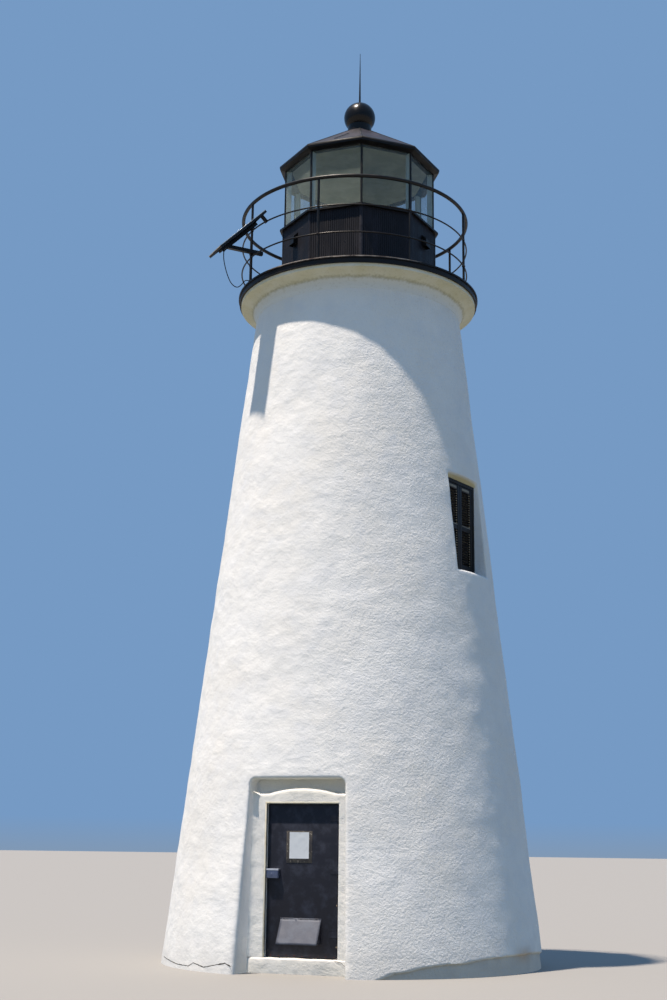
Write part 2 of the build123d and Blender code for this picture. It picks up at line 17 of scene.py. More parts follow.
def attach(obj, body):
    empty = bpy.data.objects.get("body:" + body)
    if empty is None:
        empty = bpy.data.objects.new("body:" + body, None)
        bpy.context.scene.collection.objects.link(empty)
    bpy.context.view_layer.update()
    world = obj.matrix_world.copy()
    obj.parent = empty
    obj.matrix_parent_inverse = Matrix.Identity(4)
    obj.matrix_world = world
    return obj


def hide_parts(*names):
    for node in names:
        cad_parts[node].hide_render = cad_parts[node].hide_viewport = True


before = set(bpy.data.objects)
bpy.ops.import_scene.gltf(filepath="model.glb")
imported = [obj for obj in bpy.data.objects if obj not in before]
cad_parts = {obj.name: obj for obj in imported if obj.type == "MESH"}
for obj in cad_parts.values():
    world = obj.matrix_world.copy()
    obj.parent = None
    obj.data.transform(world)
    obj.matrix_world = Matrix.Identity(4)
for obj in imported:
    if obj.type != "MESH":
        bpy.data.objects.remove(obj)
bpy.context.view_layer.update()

# %% [markdown]
# Camera first. It stands 18 m from the tower's axis, a little to the right of the door,
# at a standing person's low eye level, and looks up, so the tower narrows twice: by its
# own batter and by the view. A heading, a pitch and a small roll make its turn.

# %% Camera
CAMERA_DISTANCE = 18.0
CAMERA_BEARING = 18.26
CAMERA_HEIGHT = 1.335
CAMERA_HEADING = 19.21
CAMERA_PITCH = 13.93
CAMERA_ROLL = 0.75
CAMERA_LENS = 50.74
SENSOR_WIDTH = 36.0


def on_bearing(bearing, radius, level=0.0):
    turn = radians(bearing)
    return Vector((radius * sin(turn), -radius * cos(turn), level))


camera_data = bpy.data.cameras.new("view_camera")
camera_data.lens = CAMERA_LENS
camera_data.sensor_width = SENSOR_WIDTH
camera_data.clip_end = 400.0
camera = bpy.data.objects.new("view_camera", camera_data)
bpy.context.scene.collection.objects.link(camera)
heading = Matrix.Rotation(radians(CAMERA_HEADING), 4, "Z")
pitch = Matrix.Rotation(radians(90 + CAMERA_PITCH), 4, "X")
roll = Matrix.Rotation(radians(CAMERA_ROLL), 4, "Z")
place = Matrix.Translation(on_bearing(CAMERA_BEARING, CAMERA_DISTANCE, CAMERA_HEIGHT))
camera.matrix_world = place @ heading @ pitch @ roll
bpy.context.scene.camera = camera
print("camera at", [round(v, 3) for v in camera.matrix_world.translation])

# %% [markdown]
# Finishes. Every colour is written as the hex value that a screen shows and turned to
# the linear value that the renderer works in. One helper adds a node, fills in its
# settings and makes its links; it serves materials, the surround and Geometry Nodes.
# Another lays colours over a tone: each layer is a field, the values where it starts and
# where it is full, its most, and its colour. Patterns read the object's own coordinates,
# in metres, so a scale is one over a real size.

# %% Colour and node helpers
def paint(code):
    values = [int(code[i : i + 2], 16) / 255 for i in (1, 3, 5)]
    return tuple(v / 12.92 if v <= 0.04045 else ((v + 0.055) / 1.055) ** 2.4 for v in values) + (1.0,)


def join(tree, node, links):
    for name, source in links.items():
        tree.links.new(source, node.inputs[name])


def add_node(tree, kind, settings=None, links=None):
    made = tree.nodes.new(kind)
    for name, value in (settings or {}).items():
        if isinstance(name, int) or name in made.inputs:
            made.inputs[name].default_value = value
        else:
            setattr(made, name, value)
    join(tree, made, links or {})
    return made


def lay_over(tree, tone, layers):
    for field, start, full, most, colour in layers:
        fade = {"From Min": start, "From Max": full, "To Max": most}
        share = add_node(tree, "ShaderNodeMapRange", fade, {"Value": field}).outputs[0]
        settings, links = {"data_type": "RGBA", 7: paint(colour)}, {0: share}
        (settings if isinstance(tone, tuple) else links)[6] = tone
        tone = add_node(tree, "ShaderNodeMix", settings, links).outputs[2]
    return tone


def new_finish(name, **shader_settings):
    material = bpy.data.materials.new(name)
    material.use_nodes = True
    shader = material.node_tree.nodes["Principled BSDF"]
    for setting, value in shader_settings.items():
        shader.inputs[setting.replace("_", " ")].default_value = value
    return material, material.node_tree, shader


def per_mm(size):
    return 1000.0 / size


print("white paint is", [round(v, 3) for v in paint("#F4F4F1")])

# %% [markdown]
# Limewashed stucco: lime plaster flicked and brushed on brick, then painted white many
# times. It is almost matt. Its lumps are about 30 mm wide and rise higher towards the
# window's side, and its brush drags are about 170 mm long. Its pits are coloured a little
# blue-grey, as painted shade in the hollows, the white drifts towards cream and blue-grey,
# and splashes stain the foot. Three bumps carry the relief, coarse under fine, and a colour
# attribute named tint, painted on the mesh, brings in the local marks: rust, chips, and the
# painted shade and bounce light set on the foundation and in the openings' heads.

# %% Stucco finish
def stucco_finish(name, light, warm, cool, pit_painted_shade, splash_top, tinted):
    material, tree, shader = new_finish(name, Roughness=0.84)
    spot = add_node(tree, "ShaderNodeTexCoord").outputs["Object"]
    drawn = add_node(tree, "ShaderNodeMapping", {"Scale": (1, 1, 1.05)}, {"Vector": spot}).outputs[0]
    long_drawn = add_node(tree, "ShaderNodeMapping", {"Scale": (1, 1, 1.25)}, {"Vector": spot}).outputs[0]
    fields = []
    for across, size, detail, roughness, distortion in (
        (spot, 900, 5.0, 0.5, 0.0),
        (drawn, 240, 4.0, 0.5, 0.0),
        (drawn, 30, 4.0, 0.72, 0.1),
        (long_drawn, 170, 4.0, 0.55, 0.0),
        (drawn, 12, 3.0, 0.6, 0.0),
    ):
        settings = {"Scale": per_mm(size), "Detail": detail, "Roughness": roughness, "Distortion": distortion}
        fields.append(add_node(tree, "ShaderNodeTexNoise", settings, {"Vector": across}).outputs[0])
    patches, clouds, lumps, drags, grain = fields
    side, _, level = add_node(tree, "ShaderNodeSeparateXYZ", None, {0: spot}).outputs
    rising = {"From Min": -0.2, "From Max": 1.5, "To Min": 0.42, "To Max": 2.6}
    rise = add_node(tree, "ShaderNodeMapRange", rising, {"Value": side}).outputs[0]
    high_lumps = add_node(tree, "ShaderNodeMath", {"operation": "MULTIPLY"}, {0: lumps, 1: rise}).outputs[0]
    ragged = add_node(tree, "ShaderNodeMath", {"operation": "MULTIPLY_ADD", 1: -0.7}, {0: clouds, 2: level})
    layers = (
        (patches, 0.42, 0.66, 0.8, warm),
        (clouds, 0.45, 0.7, 0.6, cool),
        # Blue-grey in the pits: painted shade in the hollows between the lumps.
        (lumps, 0.42, 0.3, 0.4, pit_painted_shade),
        (ragged.outputs[0], splash_top - 0.35, splash_top - 0.75, 0.2, "#A9A193"),
    )
    tone = lay_over(tree, paint(light), layers)
    if tinted:
        tint = add_node(tree, "ShaderNodeAttribute", {"attribute_name": "tint"}).outputs["Color"]
        mixing = {"data_type": "RGBA", "blend_type": "MULTIPLY", 0: 1.0}
        tone = add_node(tree, "ShaderNodeMix", mixing, {6: tone, 7: tint}).outputs[2]
    relief = {}
    for height, distance in ((drags, 0.012), (high_lumps, 0.005), (grain, 0.002)):
        bump = add_node(tree, "ShaderNodeBump", {"Distance": distance}, {"Height": height, **relief})
        relief = {"Normal": bump.outputs[0]}
    join(tree, shader, {"Base Color": tone, **relief})
    return material


WALL_WHITE = stucco_finish("limewashed_stucco", "#F5F5F3", "#F1EFEA", "#E9EBED", "#CDD1D6", 0.42, True)
INNER_WHITE = stucco_finish("inner_limewash", "#D9D6CD", "#CFCABD", "#C2BEB2", "#A8A49A", 0.7, False)
print("stucco finishes", WALL_WHITE.name, INNER_WHITE.name)

# %% [markdown]
# The cornice is run in plaster with a template, so it is smoother than the wall, and its
# limewash has yellowed. The cream stops part of the way down the cove, where an olive
# line marks its edge: painted shade of the soft crease there, with a painted yellowish
# bounce and flecks of grime. The foot of the cove is white as the wall is.

# %% Cornice finish
PAINT_EDGE = 8.358


def cornice_finish():
    material, tree, shader = new_finish("cream_limewash", Roughness=0.75)
    spot = add_node(tree, "ShaderNodeTexCoord").outputs["Object"]
    clouds = add_node(tree, "ShaderNodeTexNoise", {"Scale": per_mm(260), "Detail": 5.0}, {"Vector": spot}).outputs[0]
    specks = add_node(tree, "ShaderNodeTexNoise", {"Scale": per_mm(34), "Detail": 3.0}, {"Vector": spot}).outputs[0]
    level = add_node(tree, "ShaderNodeSeparateXYZ", None, {0: spot}).outputs[2]
    wavy = add_node(tree, "ShaderNodeMath", {"operation": "MULTIPLY_ADD", 1: 0.03}, {0: clouds, 2: level}).outputs[0]
    above = add_node(tree, "ShaderNodeMath", {"operation": "SUBTRACT", 1: PAINT_EDGE + 0.017}, {0: wavy}).outputs[0]
    distance = add_node(tree, "ShaderNodeMath", {"operation": "ABSOLUTE"}, {0: above}).outputs[0]
    line_fade = {"From Min": 0.03, "From Max": 0.002, "To Max": 0.5}
    line = add_node(tree, "ShaderNodeMapRange", line_fade, {"Value": distance}).outputs[0]
    # Olive line: painted shade and painted bounce light along the crease, with grime flecks.
    crease_shade_and_dirt = add_node(tree, "ShaderNodeMath", {"operation": "MULTIPLY_ADD", 1: 0.9}, {0: line, 2: specks}).outputs[0]
    layers = (
        (clouds, 0.4, 0.7, 1.0, "#E9E2C6"),
        (wavy, PAINT_EDGE + 0.025, PAINT_EDGE + 0.005, 1.0, "#F1F1EE"),
        (crease_shade_and_dirt, 0.55, 1.05, 0.5, "#9A8F5E"),
    )
    tone = lay_over(tree, paint("#F4EFDD"), layers)
    normal = add_node(tree, "ShaderNodeBump", {"Distance": 0.006}, {"Height": clouds}).outputs[0]
    join(tree, shader, {"Base Color": tone, "Normal": normal})
    return material


CORNICE_CREAM = cornice_finish()
print("cornice finish", CORNICE_CREAM.name)

# %% [markdown]
# Paint, thick and often renewed: on iron it is smooth with rust freckles, on boards it
# is duller, on the roof's sheet it has weathered to a mauve grey. One recipe serves all
# painted and sheet surfaces, with the colours, the wear, the freckles, the roughness and
# the relief's width (in mm) and height as its inputs. Wear shows as a second colour in
# cloudy patches, and a third colour makes small freckles.

# %% Painted finishes
def painted_finish(name, dark, worn, freckle, wear, freckles, rough, lump_mm, lump, metal=0.0, drawn=(1, 1, 1)):
    material, tree, shader = new_finish(name, Metallic=metal, Specular_IOR_Level=0.5 if metal else 0.28)
    spot = add_node(tree, "ShaderNodeTexCoord").outputs["Object"]
    along = add_node(tree, "ShaderNodeMapping", {"Scale": drawn}, {"Vector": spot}).outputs[0]
    cloud_settings = {"Scale": per_mm(150), "Detail": 7.0, "Roughness": 0.62}
    clouds = add_node(tree, "ShaderNodeTexNoise", cloud_settings, {"Vector": along}).outputs[0]
    relief_settings = {"Scale": per_mm(lump_mm), "Detail": 4.0}
    relief = add_node(tree, "ShaderNodeTexNoise", relief_settings, {"Vector": along}).outputs[0]
    dots = add_node(tree, "ShaderNodeTexNoise", {"Scale": per_mm(22), "Detail": 4.0}, {"Vector": spot}).outputs[0]
    layers = (
        (clouds, 0.6 - wear, 0.8 - wear, 1.0, worn),
        (dots, 0.74 - freckles, 0.8 - freckles, 0.85, freckle),
    )
    gloss_range = {"From Min": 0.35, "From Max": 0.7, "To Min": rough - 0.08, "To Max": rough + 0.14}
    gloss = add_node(tree, "ShaderNodeMapRange", gloss_range, {"Value": clouds}).outputs[0]
    normal = add_node(tree, "ShaderNodeBump", {"Distance": lump}, {"Height": relief}).outputs[0]
    tone = lay_over(tree, paint(dark), layers)
    join(tree, shader, {"Base Color": tone, "Roughness": gloss, "Normal": normal})
    return material


IRON_BLACK = painted_finish("black_painted_iron", "#0D0C0C", "#1F1817", "#4A3024", 0.04, 0.02, 0.4, 30, 0.0006)
RAIL_WORN = painted_finish("worn_rail_paint", "#120F0E", "#26201D", "#6A5A50", 0.08, 0.04, 0.34, 24, 0.0006)
DECK_BLACK = painted_finish("black_deck_paint", "#0B0A0A", "#181514", "#5C4434", 0.06, 0.015, 0.46, 50, 0.002)
BOARD_BLACK = painted_finish(
    "black_board_paint", "#14141B", "#24252F", "#4C4D55", 0.1, 0.0, 0.5, 40, 0.001, drawn=(1, 1, 0.25)
)
STRIP_GREY = painted_finish("rubbed_corner_paint", "#1D1D25", "#34343D", "#5C5C66", 0.15, 0.04, 0.5, 40, 0.001)
ROOF_MAUVE = painted_finish("weathered_roof_paint", "#1F1B21", "#37313B", "#120F13", 0.14, 0.06, 0.5, 80, 0.006)
BALL_BLACK = painted_finish("black_ball_paint", "#0D0A08", "#1D1713", "#2C221B", 0.06, 0.0, 0.26, 60, 0.0012)
SHUTTER_BLACK = painted_finish("black_shutter_paint", "#0A090D", "#15120F", "#2C2722", 0.06, 0.02, 0.5, 40, 0.001)
SHUTTER_WORN = painted_finish("rubbed_shutter_paint", "#6E6A60", "#8E897E", "#A39E90", 0.16, 0.06, 0.55, 40, 0.001)
RUST_RED = painted_finish("rust_red", "#4E2A20", "#6A3A28", "#2E1A14", 0.1, 0.04, 0.8, 10, 0.0006)
# Pale paint: painted highlights on the slat ends, and the door's paint chips.
SLAT_HIGHLIGHT_AND_CHIP_PAINT = painted_finish("slat_end_highlights_and_chips", "#A4937A", "#C0B196", "#5E5648", 0.12, 0.04, 0.6, 20, 0.001)
# Paler edge paint: wear, and a painted highlight on the deck's front edge.
EDGE_WEAR_AND_HIGHLIGHT = painted_finish("edge_wear_and_highlight_paint", "#6B5A50", "#A79C92", "#2A2320", 0.2, 0.12, 0.4, 30, 0.0006)
DOOR_BLACK = painted_finish("blue_black_door_paint", "#20222C", "#333744", "#474D59", 0.12, 0.0, 0.46, 160, 0.003)
# The white posts are tinted grey-cyan: painted shade with sky light in it.
INSIDE_WHITE = painted_finish("white_post_paint", "#C9D8D6", "#B3C2BE", "#8F9A94", 0.1, 0.0, 0.45, 40, 0.0006)
# The white ceiling is tinted olive: painted bounce light.
CEILING_PAINTED_BOUNCE = painted_finish("pale_ceiling_paint", "#DCDFC9", "#C6CAB2", "#A0A68E", 0.2, 0.0, 0.6, 200, 0.002)
LOCK_STEEL = painted_finish("weathered_lock_steel", "#5C6680", "#77809A", "#4A4650", 0.12, 0.03, 0.42, 20, 0.0005, 0.5)
LOCK_LID = painted_finish("bare_lock_lid", "#D3D7E0", "#B9BFCC", "#8A8680", 0.12, 0.02, 0.38, 20, 0.0005, 0.5)
HOOD_STEEL = painted_finish("weathered_hood_zinc", "#4A4F5C", "#5F6571", "#3C4049", 0.16, 0.02, 0.6, 30, 0.0008, 0.15)
PAPER_WHITE = painted_finish("blank_sheet", "#DDE3E9", "#C9CED3", "#A9A79C", 0.1, 0.03, 0.6, 90, 0.002)
# Dark grey for the notice's backing plate, whose border round the sheet is partly painted shadow, and for screws.
BACKING_BROWN = painted_finish("dark_backing_paint", "#34343A", "#5A554F", "#A39C90", 0.2, 0.14, 0.6, 20, 0.001)
CREAM_STRIP = painted_finish("cream_door_strip", "#EAE4D0", "#D8CDB0", "#A5946E", 0.1, 0.04, 0.6, 30, 0.001)
FLOOR_GREY = painted_finish("worn_floor", "#8A857C", "#6F6A61", "#55514A", 0.2, 0.04, 0.8, 60, 0.004)
CABLE_BLACK = painted_finish("black_cable_sheath", "#111112", "#1C1C1D", "#2A2A2B", 0.02, 0.0, 0.5, 20, 0.0003)
PANEL_LIP = painted_finish("bare_panel_lip", "#D9D6CF", "#C2BFB8", "#8F8C86", 0.1, 0.0, 0.35, 20, 0.0003, 0.6)
# Dark frame paint: painted shade on the aluminium frame's sides and flange.
PANEL_FRAME_PAINTED_SHADE = painted_finish("panel_frame_painted_shade", "#16161A", "#25262B", "#3A3A3C", 0.1, 0.0, 0.4, 20, 0.0003)
PANEL_BACK = painted_finish("panel_back_sheet", "#15161B", "#202229", "#2C2E36", 0.1, 0.0, 0.5, 60, 0.0006)
CRACK_DARK = painted_finish("open_crack", "#6A655D", "#35322D", "#2A2723", 0.1, 0.02, 0.9, 20, 0.003)
print("finishes made", len(bpy.data.materials))

# %% [markdown]
# Lantern glass is clear float glass, 6 mm thick and a little dusty. Through two panes one
# sees the ceiling and the sky behind it, so the pane is mostly see-through, with a faint
# green-grey haze, and its gloss comes from the smooth surface. The solar laminate is dark
# blue silicon cells, 78 mm apart, with fine pale joints, behind smooth glass. The cells
# follow the laminate, so the pattern reads its own UV map, which is laid out in metres.

# %% Glass and solar cell finishes
def glass_finish():
    material, tree, shader = new_finish("clear_lantern_glass", Roughness=0.04, Alpha=0.2)
    spot = add_node(tree, "ShaderNodeTexCoord").outputs["Object"]
    haze = add_node(tree, "ShaderNodeTexNoise", {"Scale": per_mm(160), "Detail": 5.0}, {"Vector": spot}).outputs[0]
    join(tree, shader, {"Base Color": lay_over(tree, paint("#93A29A"), ((haze, 0.4, 0.75, 1.0, "#ABB7AD"),))})
    return material


def cell_finish():
    material, tree, shader = new_finish("dark_solar_cells", Roughness=0.14)
    layout = add_node(tree, "ShaderNodeUVMap", {"uv_map": "laminate"}).outputs[0]
    grid = {
        "offset": 0.0,
        "Scale": 1.0,
        "Mortar Size": 0.0015,
        "Brick Width": 0.078,
        "Row Height": 0.078,
        "Color1": paint("#0B1026"),
        "Color2": paint("#10183A"),
        "Mortar": paint("#6E7686"),
    }
    cells = add_node(tree, "ShaderNodeTexBrick", grid, {"Vector": layout}).outputs["Color"]
    join(tree, shader, {"Base Color": cells})
    return material


LANTERN_GLASS, SOLAR_CELLS = glass_finish(), cell_finish()
print("glass and cells", LANTERN_GLASS.name, SOLAR_CELLS.name)

# %% [markdown]
# Many bodies have the right shape already, so they only get their finish. Each shown
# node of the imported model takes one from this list; nodes that a richer piece replaces
# below take a finish too, and it doesn't show. The masonry takes the inner limewash.

# %% Dress the frame's own nodes
dressing = (
    (FLOOR_GREY, ("ground_floor",)),
    (CORNICE_CREAM, ("gallery_cornice",)),
    (DECK_BLACK, ("gallery_deck", "lantern_vents", "lantern_sill", "glass_posts", "lantern_cornice")),
    (IRON_BLACK, ("top_rail", "rail_posts", "spire", "hinge_pins", "panel_bracket", "rail_clamps")),
    (RAIL_WORN, ("lower_rails",)),
    (BOARD_BLACK, ("lantern_wall",)),
    (LANTERN_GLASS, ("lantern_glass",)),
    (CEILING_PAINTED_BOUNCE, ("lantern_ceiling",)),
    (ROOF_MAUVE, ("lantern_roof",)),
    (BALL_BLACK, ("roof_collar", "vent_ball")),
    (SHUTTER_BLACK, ("window_frame", "window_shutters")),
    (DOOR_BLACK, ("door_leaf", "hinge_straps")),
    (LOCK_STEEL, ("lock_box",)),
    (PAPER_WHITE, ("notice_board",)),
    (HOOD_STEEL, ("vent_hood",)),
    (PANEL_BACK, ("solar_panel",)),
    (CABLE_BLACK, ("cable_glands", "panel_cable")),
)
node_finishes = {node_name: finish for finish, names in dressing for node_name in names}
for node_name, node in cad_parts.items():
    finish = node_finishes.get(node_name, INNER_WHITE)
    if not node.data.materials:
        node.data.materials.append(finish)
    for index in range(len(node.data.materials)):
        node.data.materials[index] = finish
print("nodes with a finish", len(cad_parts))

# %% [markdown]
# The panel's cable is a limp 12 mm sheathed lead, about 1.4 m long. It leaves the box
# behind the panel, hangs in a loop beside the gallery's edge, comes back over the deck
# and goes into the lantern's wall. Its line is one smooth spline with a round bevel. The
# points of its route are given as distance outside the rail, side, and rise above the
# deck, turned to the panel's post. The rail stands 56 mm off the tower's axis, and the
# panel and the cable go with it.

# %% Panel cable
PANEL_BEARING = -44.2
CABLE_RADIUS = 0.006
RAIL_RADIUS = 1.532
DECK_TOP = 8.561
RAIL_SHIFT = on_bearing(-70.8, 0.056)
CABLE_POINTS = (
    (0.445, 0.132, 0.293), (0.447, 0.132, 0.223), (0.435, 0.130, 0.148), (0.409, 0.122, 0.065),
    (0.369, 0.110, -0.029), (0.313, 0.094, -0.114), (0.224, 0.072, -0.147), (0.148, 0.046, -0.081),
    (0.096, 0.012, 0.000), (0.042, -0.022, 0.034), (-0.028, -0.038, 0.032), (-0.096, -0.036, 0.016),
    (-0.187, -0.018, 0.008), (-0.302, -0.002, 0.007), (-0.424, 0.009, 0.012), (-0.544, 0.000, 0.016),
)  # fmt: skip
turn_to_panel = Matrix.Rotation(radians(PANEL_BEARING), 4, "Z")
route = [
    turn_to_panel @ Vector((side, -RAIL_RADIUS - out, DECK_TOP + rise)) + RAIL_SHIFT
    for out, side, rise in CABLE_POINTS
]
cable_curve = bpy.data.curves.new("panel_lead", "CURVE")
cable_curve.dimensions = "3D"
cable_curve.bevel_depth = CABLE_RADIUS
cable_curve.bevel_resolution = 3
cable_curve.resolution_u = 10
cable_line = cable_curve.splines.new("NURBS")
cable_line.points.add(len(route) - 1)
for point, spot in zip(cable_line.points, route):
    point.co = (*spot, 1.0)
cable_line.order_u = 3
cable_line.use_endpoint_u = True
panel_lead = bpy.data.objects.new("panel_lead", cable_curve)
bpy.context.scene.collection.objects.link(panel_lead)
cable_curve.materials.append(CABLE_BLACK)
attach(panel_lead, "tower")
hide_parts("panel_cable")
print("panel lead points", len(route))

# %% [markdown]
# A few helpers serve every piece. The first turns a built form into an object at the
# origin, with smooth shading that stays sharp at real edges, a finish, and the body that
# it rides on. The next lays faces between rings of points, which is how walls, trims and
# sheets are built here. The others add a block with broken edges, turn faces outward, one
# by one or as a whole skin, and read a height off a line of points.

# %% Piece helpers
def keep_piece(name, form, finish, slot, nodes=(), body="tower", sharp=38, move=None):
    if isinstance(form, bmesh.types.BMesh):
        mesh = bpy.data.meshes.new(name)
        form.to_mesh(mesh)
        form.free()
    else:
        mesh = form
        mesh.name = name
    if move:
        mesh.transform(move)
    mesh.shade_smooth()
    mesh.set_sharp_from_angle(angle=radians(sharp))
    mesh.materials.clear()
    mesh.materials.append(finish)
    piece = bpy.data.objects.new(name, mesh)
    bpy.context.scene.collection.objects.link(piece)
    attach(piece, body)
    if nodes:
        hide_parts(*nodes)
    print(name, len(mesh.polygons), "faces")
    return piece


def add_rings(form, rings, closed=False):
    rows = [[form.verts.new(spot) for spot in ring] for ring in rings]
    for upper, lower in zip(rows, rows[1:]):
        count = len(upper)
        for k in range(count if closed else count - 1):
            n = (k + 1) % count
            form.faces.new((upper[k], upper[n], lower[n], lower[k]))
    return rows


def add_block(form, low, high, round_by=0.0, steps=2):
    corners = bmesh.ops.create_cube(form, size=1.0)["verts"]
    middle = (Vector(low) + Vector(high)) / 2
    size = Vector(high) - Vector(low)
    for corner in corners:
        corner.co = Vector(c * s for c, s in zip(corner.co, size)) + middle
    if round_by:
        edges = [edge for edge in form.edges if edge.verts[0] in corners]
        bmesh.ops.bevel(form, geom=edges, offset=round_by, segments=steps, profile=0.5, affect="EDGES")


def turn_faces(form, outward=None):
    bmesh.ops.recalc_face_normals(form, faces=form.faces)
    for face in form.faces if outward else ():
        if face.normal.dot(outward(face.calc_center_median())) < -1e-6:
            face.normal_flip()


def turn_skin(form, spot, outward):
    turn_faces(form)
    judge = min(form.faces, key=lambda face: (face.calc_center_median() - Vector(spot)).length)
    if judge.normal.dot(Vector(outward)) < 0:
        bmesh.ops.reverse_faces(form, faces=form.faces)


def along(points, x):
    for (x0, y0), (x1, y1) in zip(points, points[1:]):
        if x0 <= x <= x1:
            return y0 + (y1 - y0) * (x - x0) / (x1 - x0)
    return None


print("piece helpers ready")

# %% [markdown]
# The tower's coat is one skin over all thirteen wall segments, because on the real tower
# no joint shows. It is a battered cone, 2.31 m in radius at the ground and 1.375 m under
# the gallery, laid out as a grid of bearings and levels. Slow noise moves each point a
# few millimetres, as a hand-laid wall does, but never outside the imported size. Round the
# foot on the right, the stucco stops short above the ground, at a level given for each
# bearing, and the foundation stands back behind its edge.

# %% Wall surface
BASE_RADIUS = 2.310
NECK_RADIUS = 1.375
WALL_TOP = 8.225
UNDERCUT = (
    (-180, 0.09), (-160, 0.06), (-140, 0.11), (-115, 0.07), (-85, 0.02), (-75, -0.03), (24, -0.03), (29.7, 0.063),
    (32.6, 0.073), (38.6, 0.124), (44.9, 0.146), (51.8, 0.155), (57.6, 0.186), (66.6, 0.199), (84, 0.206),
    (100, 0.17), (125, 0.12), (150, 0.07), (180, 0.09),
)  # fmt: skip
FOUNDATION_SETBACK = 0.028
RUST_BEARING = 78
RUST_LEVEL = 0.2


def wall_radius(level):
    return BASE_RADIUS + (NECK_RADIUS - BASE_RADIUS) * level / WALL_TOP


def wall_point(bearing, level):
    spot = on_bearing(bearing, 1.9, level)
    swell = 0.011 * noise.noise(spot * 1.1) + 0.005 * noise.noise(spot * 3.6) + 0.002 * noise.noise(spot * 9)
    calm = min(1.0, 0.15 + level / 1.1, (WALL_TOP - level) / 0.5)
    radius = wall_radius(level) - 0.003 + swell * calm
    below = along(UNDERCUT, bearing) + 0.006 * noise.noise(spot * 11) - level
    setback = min(1.0, max(0.0, below / 0.012 + 0.5)) * FOUNDATION_SETBACK
    return on_bearing(bearing, radius - setback, level)


def wall_tint(bearing, level):
    # Below the stucco's edge the foundation is tinted darker grey: its own unpainted tone, and painted shade of the
    # recess under the edge.
    bare_tone_and_painted_shade = along(UNDERCUT, bearing) > level
    tone = Vector((0.74, 0.72, 0.68) if bare_tone_and_painted_shade else (1.0, 1.0, 1.0))
    rust = max(0.0, 1.0 - abs(bearing - RUST_BEARING) / 7) * max(0.0, 1.0 - abs(level - RUST_LEVEL) / 0.11)
    return (*tone.lerp(Vector((0.72, 0.52, 0.36)), 0.5 * min(1.0, 1.6 * rust)), 1.0)


print("wall radius at 1 m", round(wall_radius(1.0), 3))

# %% Coat grid
COLUMN_STEP = 1.25
COLUMNS = 288
LEVEL_STOPS = ((0.0, 0.012), (0.264, 0.045), (2.365, 0.045), (4.465, 0.045), (6.035, 0.045), (WALL_TOP, 0.0))
DOOR_BAY = (-23.75, 23.75, 0.0, 2.365)
WINDOW_BAY = (57.5, 92.5, 4.465, 6.035)
levels = []
for (start, step), (end, _) in zip(LEVEL_STOPS, LEVEL_STOPS[1:]):
    count = round((end - start) / step)
    levels += [start + (end - start) * k / count for k in range(count)]
levels.append(WALL_TOP)

coat = bmesh.new()
tint_layer = coat.verts.layers.float_color.new("tint")
coat_points = {}


def column_bearing(column):
    return -180 + COLUMN_STEP * column


def coat_vert(column, row):
    column %= COLUMNS
    if (column, row) not in coat_points:
        bearing = column_bearing(column)
        vert = coat.verts.new(wall_point(bearing, levels[row]))
        vert[tint_layer] = wall_tint(bearing, levels[row])
        coat_points[column, row] = vert
    return coat_points[column, row]


def inside_bay(bay, bearing, low, high):
    left, right, foot, head = bay
    across = left - 0.01 <= bearing and bearing + COLUMN_STEP <= right + 0.01
    return across and foot - 0.001 <= low and high <= head + 0.001


for row in range(len(levels) - 1):
    for column in range(COLUMNS):
        span = (column_bearing(column), levels[row], levels[row + 1])
        if inside_bay(DOOR_BAY, *span) or inside_bay(WINDOW_BAY, *span):
            continue
        corners = ((column, row), (column + 1, row), (column + 1, row + 1), (column, row + 1))
        coat.faces.new([coat_vert(*corner) for corner in corners])
print("coat grid", len(coat.faces), "faces on", len(levels), "levels")

# %% [markdown]
# The door's niche and the window's recess are bays in that skin. Each bay starts on the
# grid's own border points, so nothing has to be sewn up later. Round its border, u runs
# across the opening and v up it. Each border point closes in on the opening in a few
# steps, turns over a rounded plaster edge, and runs straight back. The niche has rounded
# top corners, a soft edge that tightens upwards, and sides that lean in a little; the
# window has a tighter edge and opens out towards its head.

# %% Opening bays
RIM_STEPS = 5
TURN_STEPS = 6


def bay_border(bay, has_foot):
    left, right = (round((b + 180) / COLUMN_STEP) for b in bay[:2])
    foot, head = (min(range(len(levels)), key=lambda row: abs(levels[row] - stop)) for stop in bay[2:])
    path = [(left, row) for row in range(foot, head)]
    path += [(column, head) for column in range(left, right)]
    path += [(right, row) for row in range(head, foot, -1)]
    path += [(column, foot) for column in range(right, left, -1)] if has_foot else [(right, foot)]
    return path


def bay_axes(bearing):
    return on_bearing(bearing, 1.0), on_bearing(bearing + 90, 1.0)


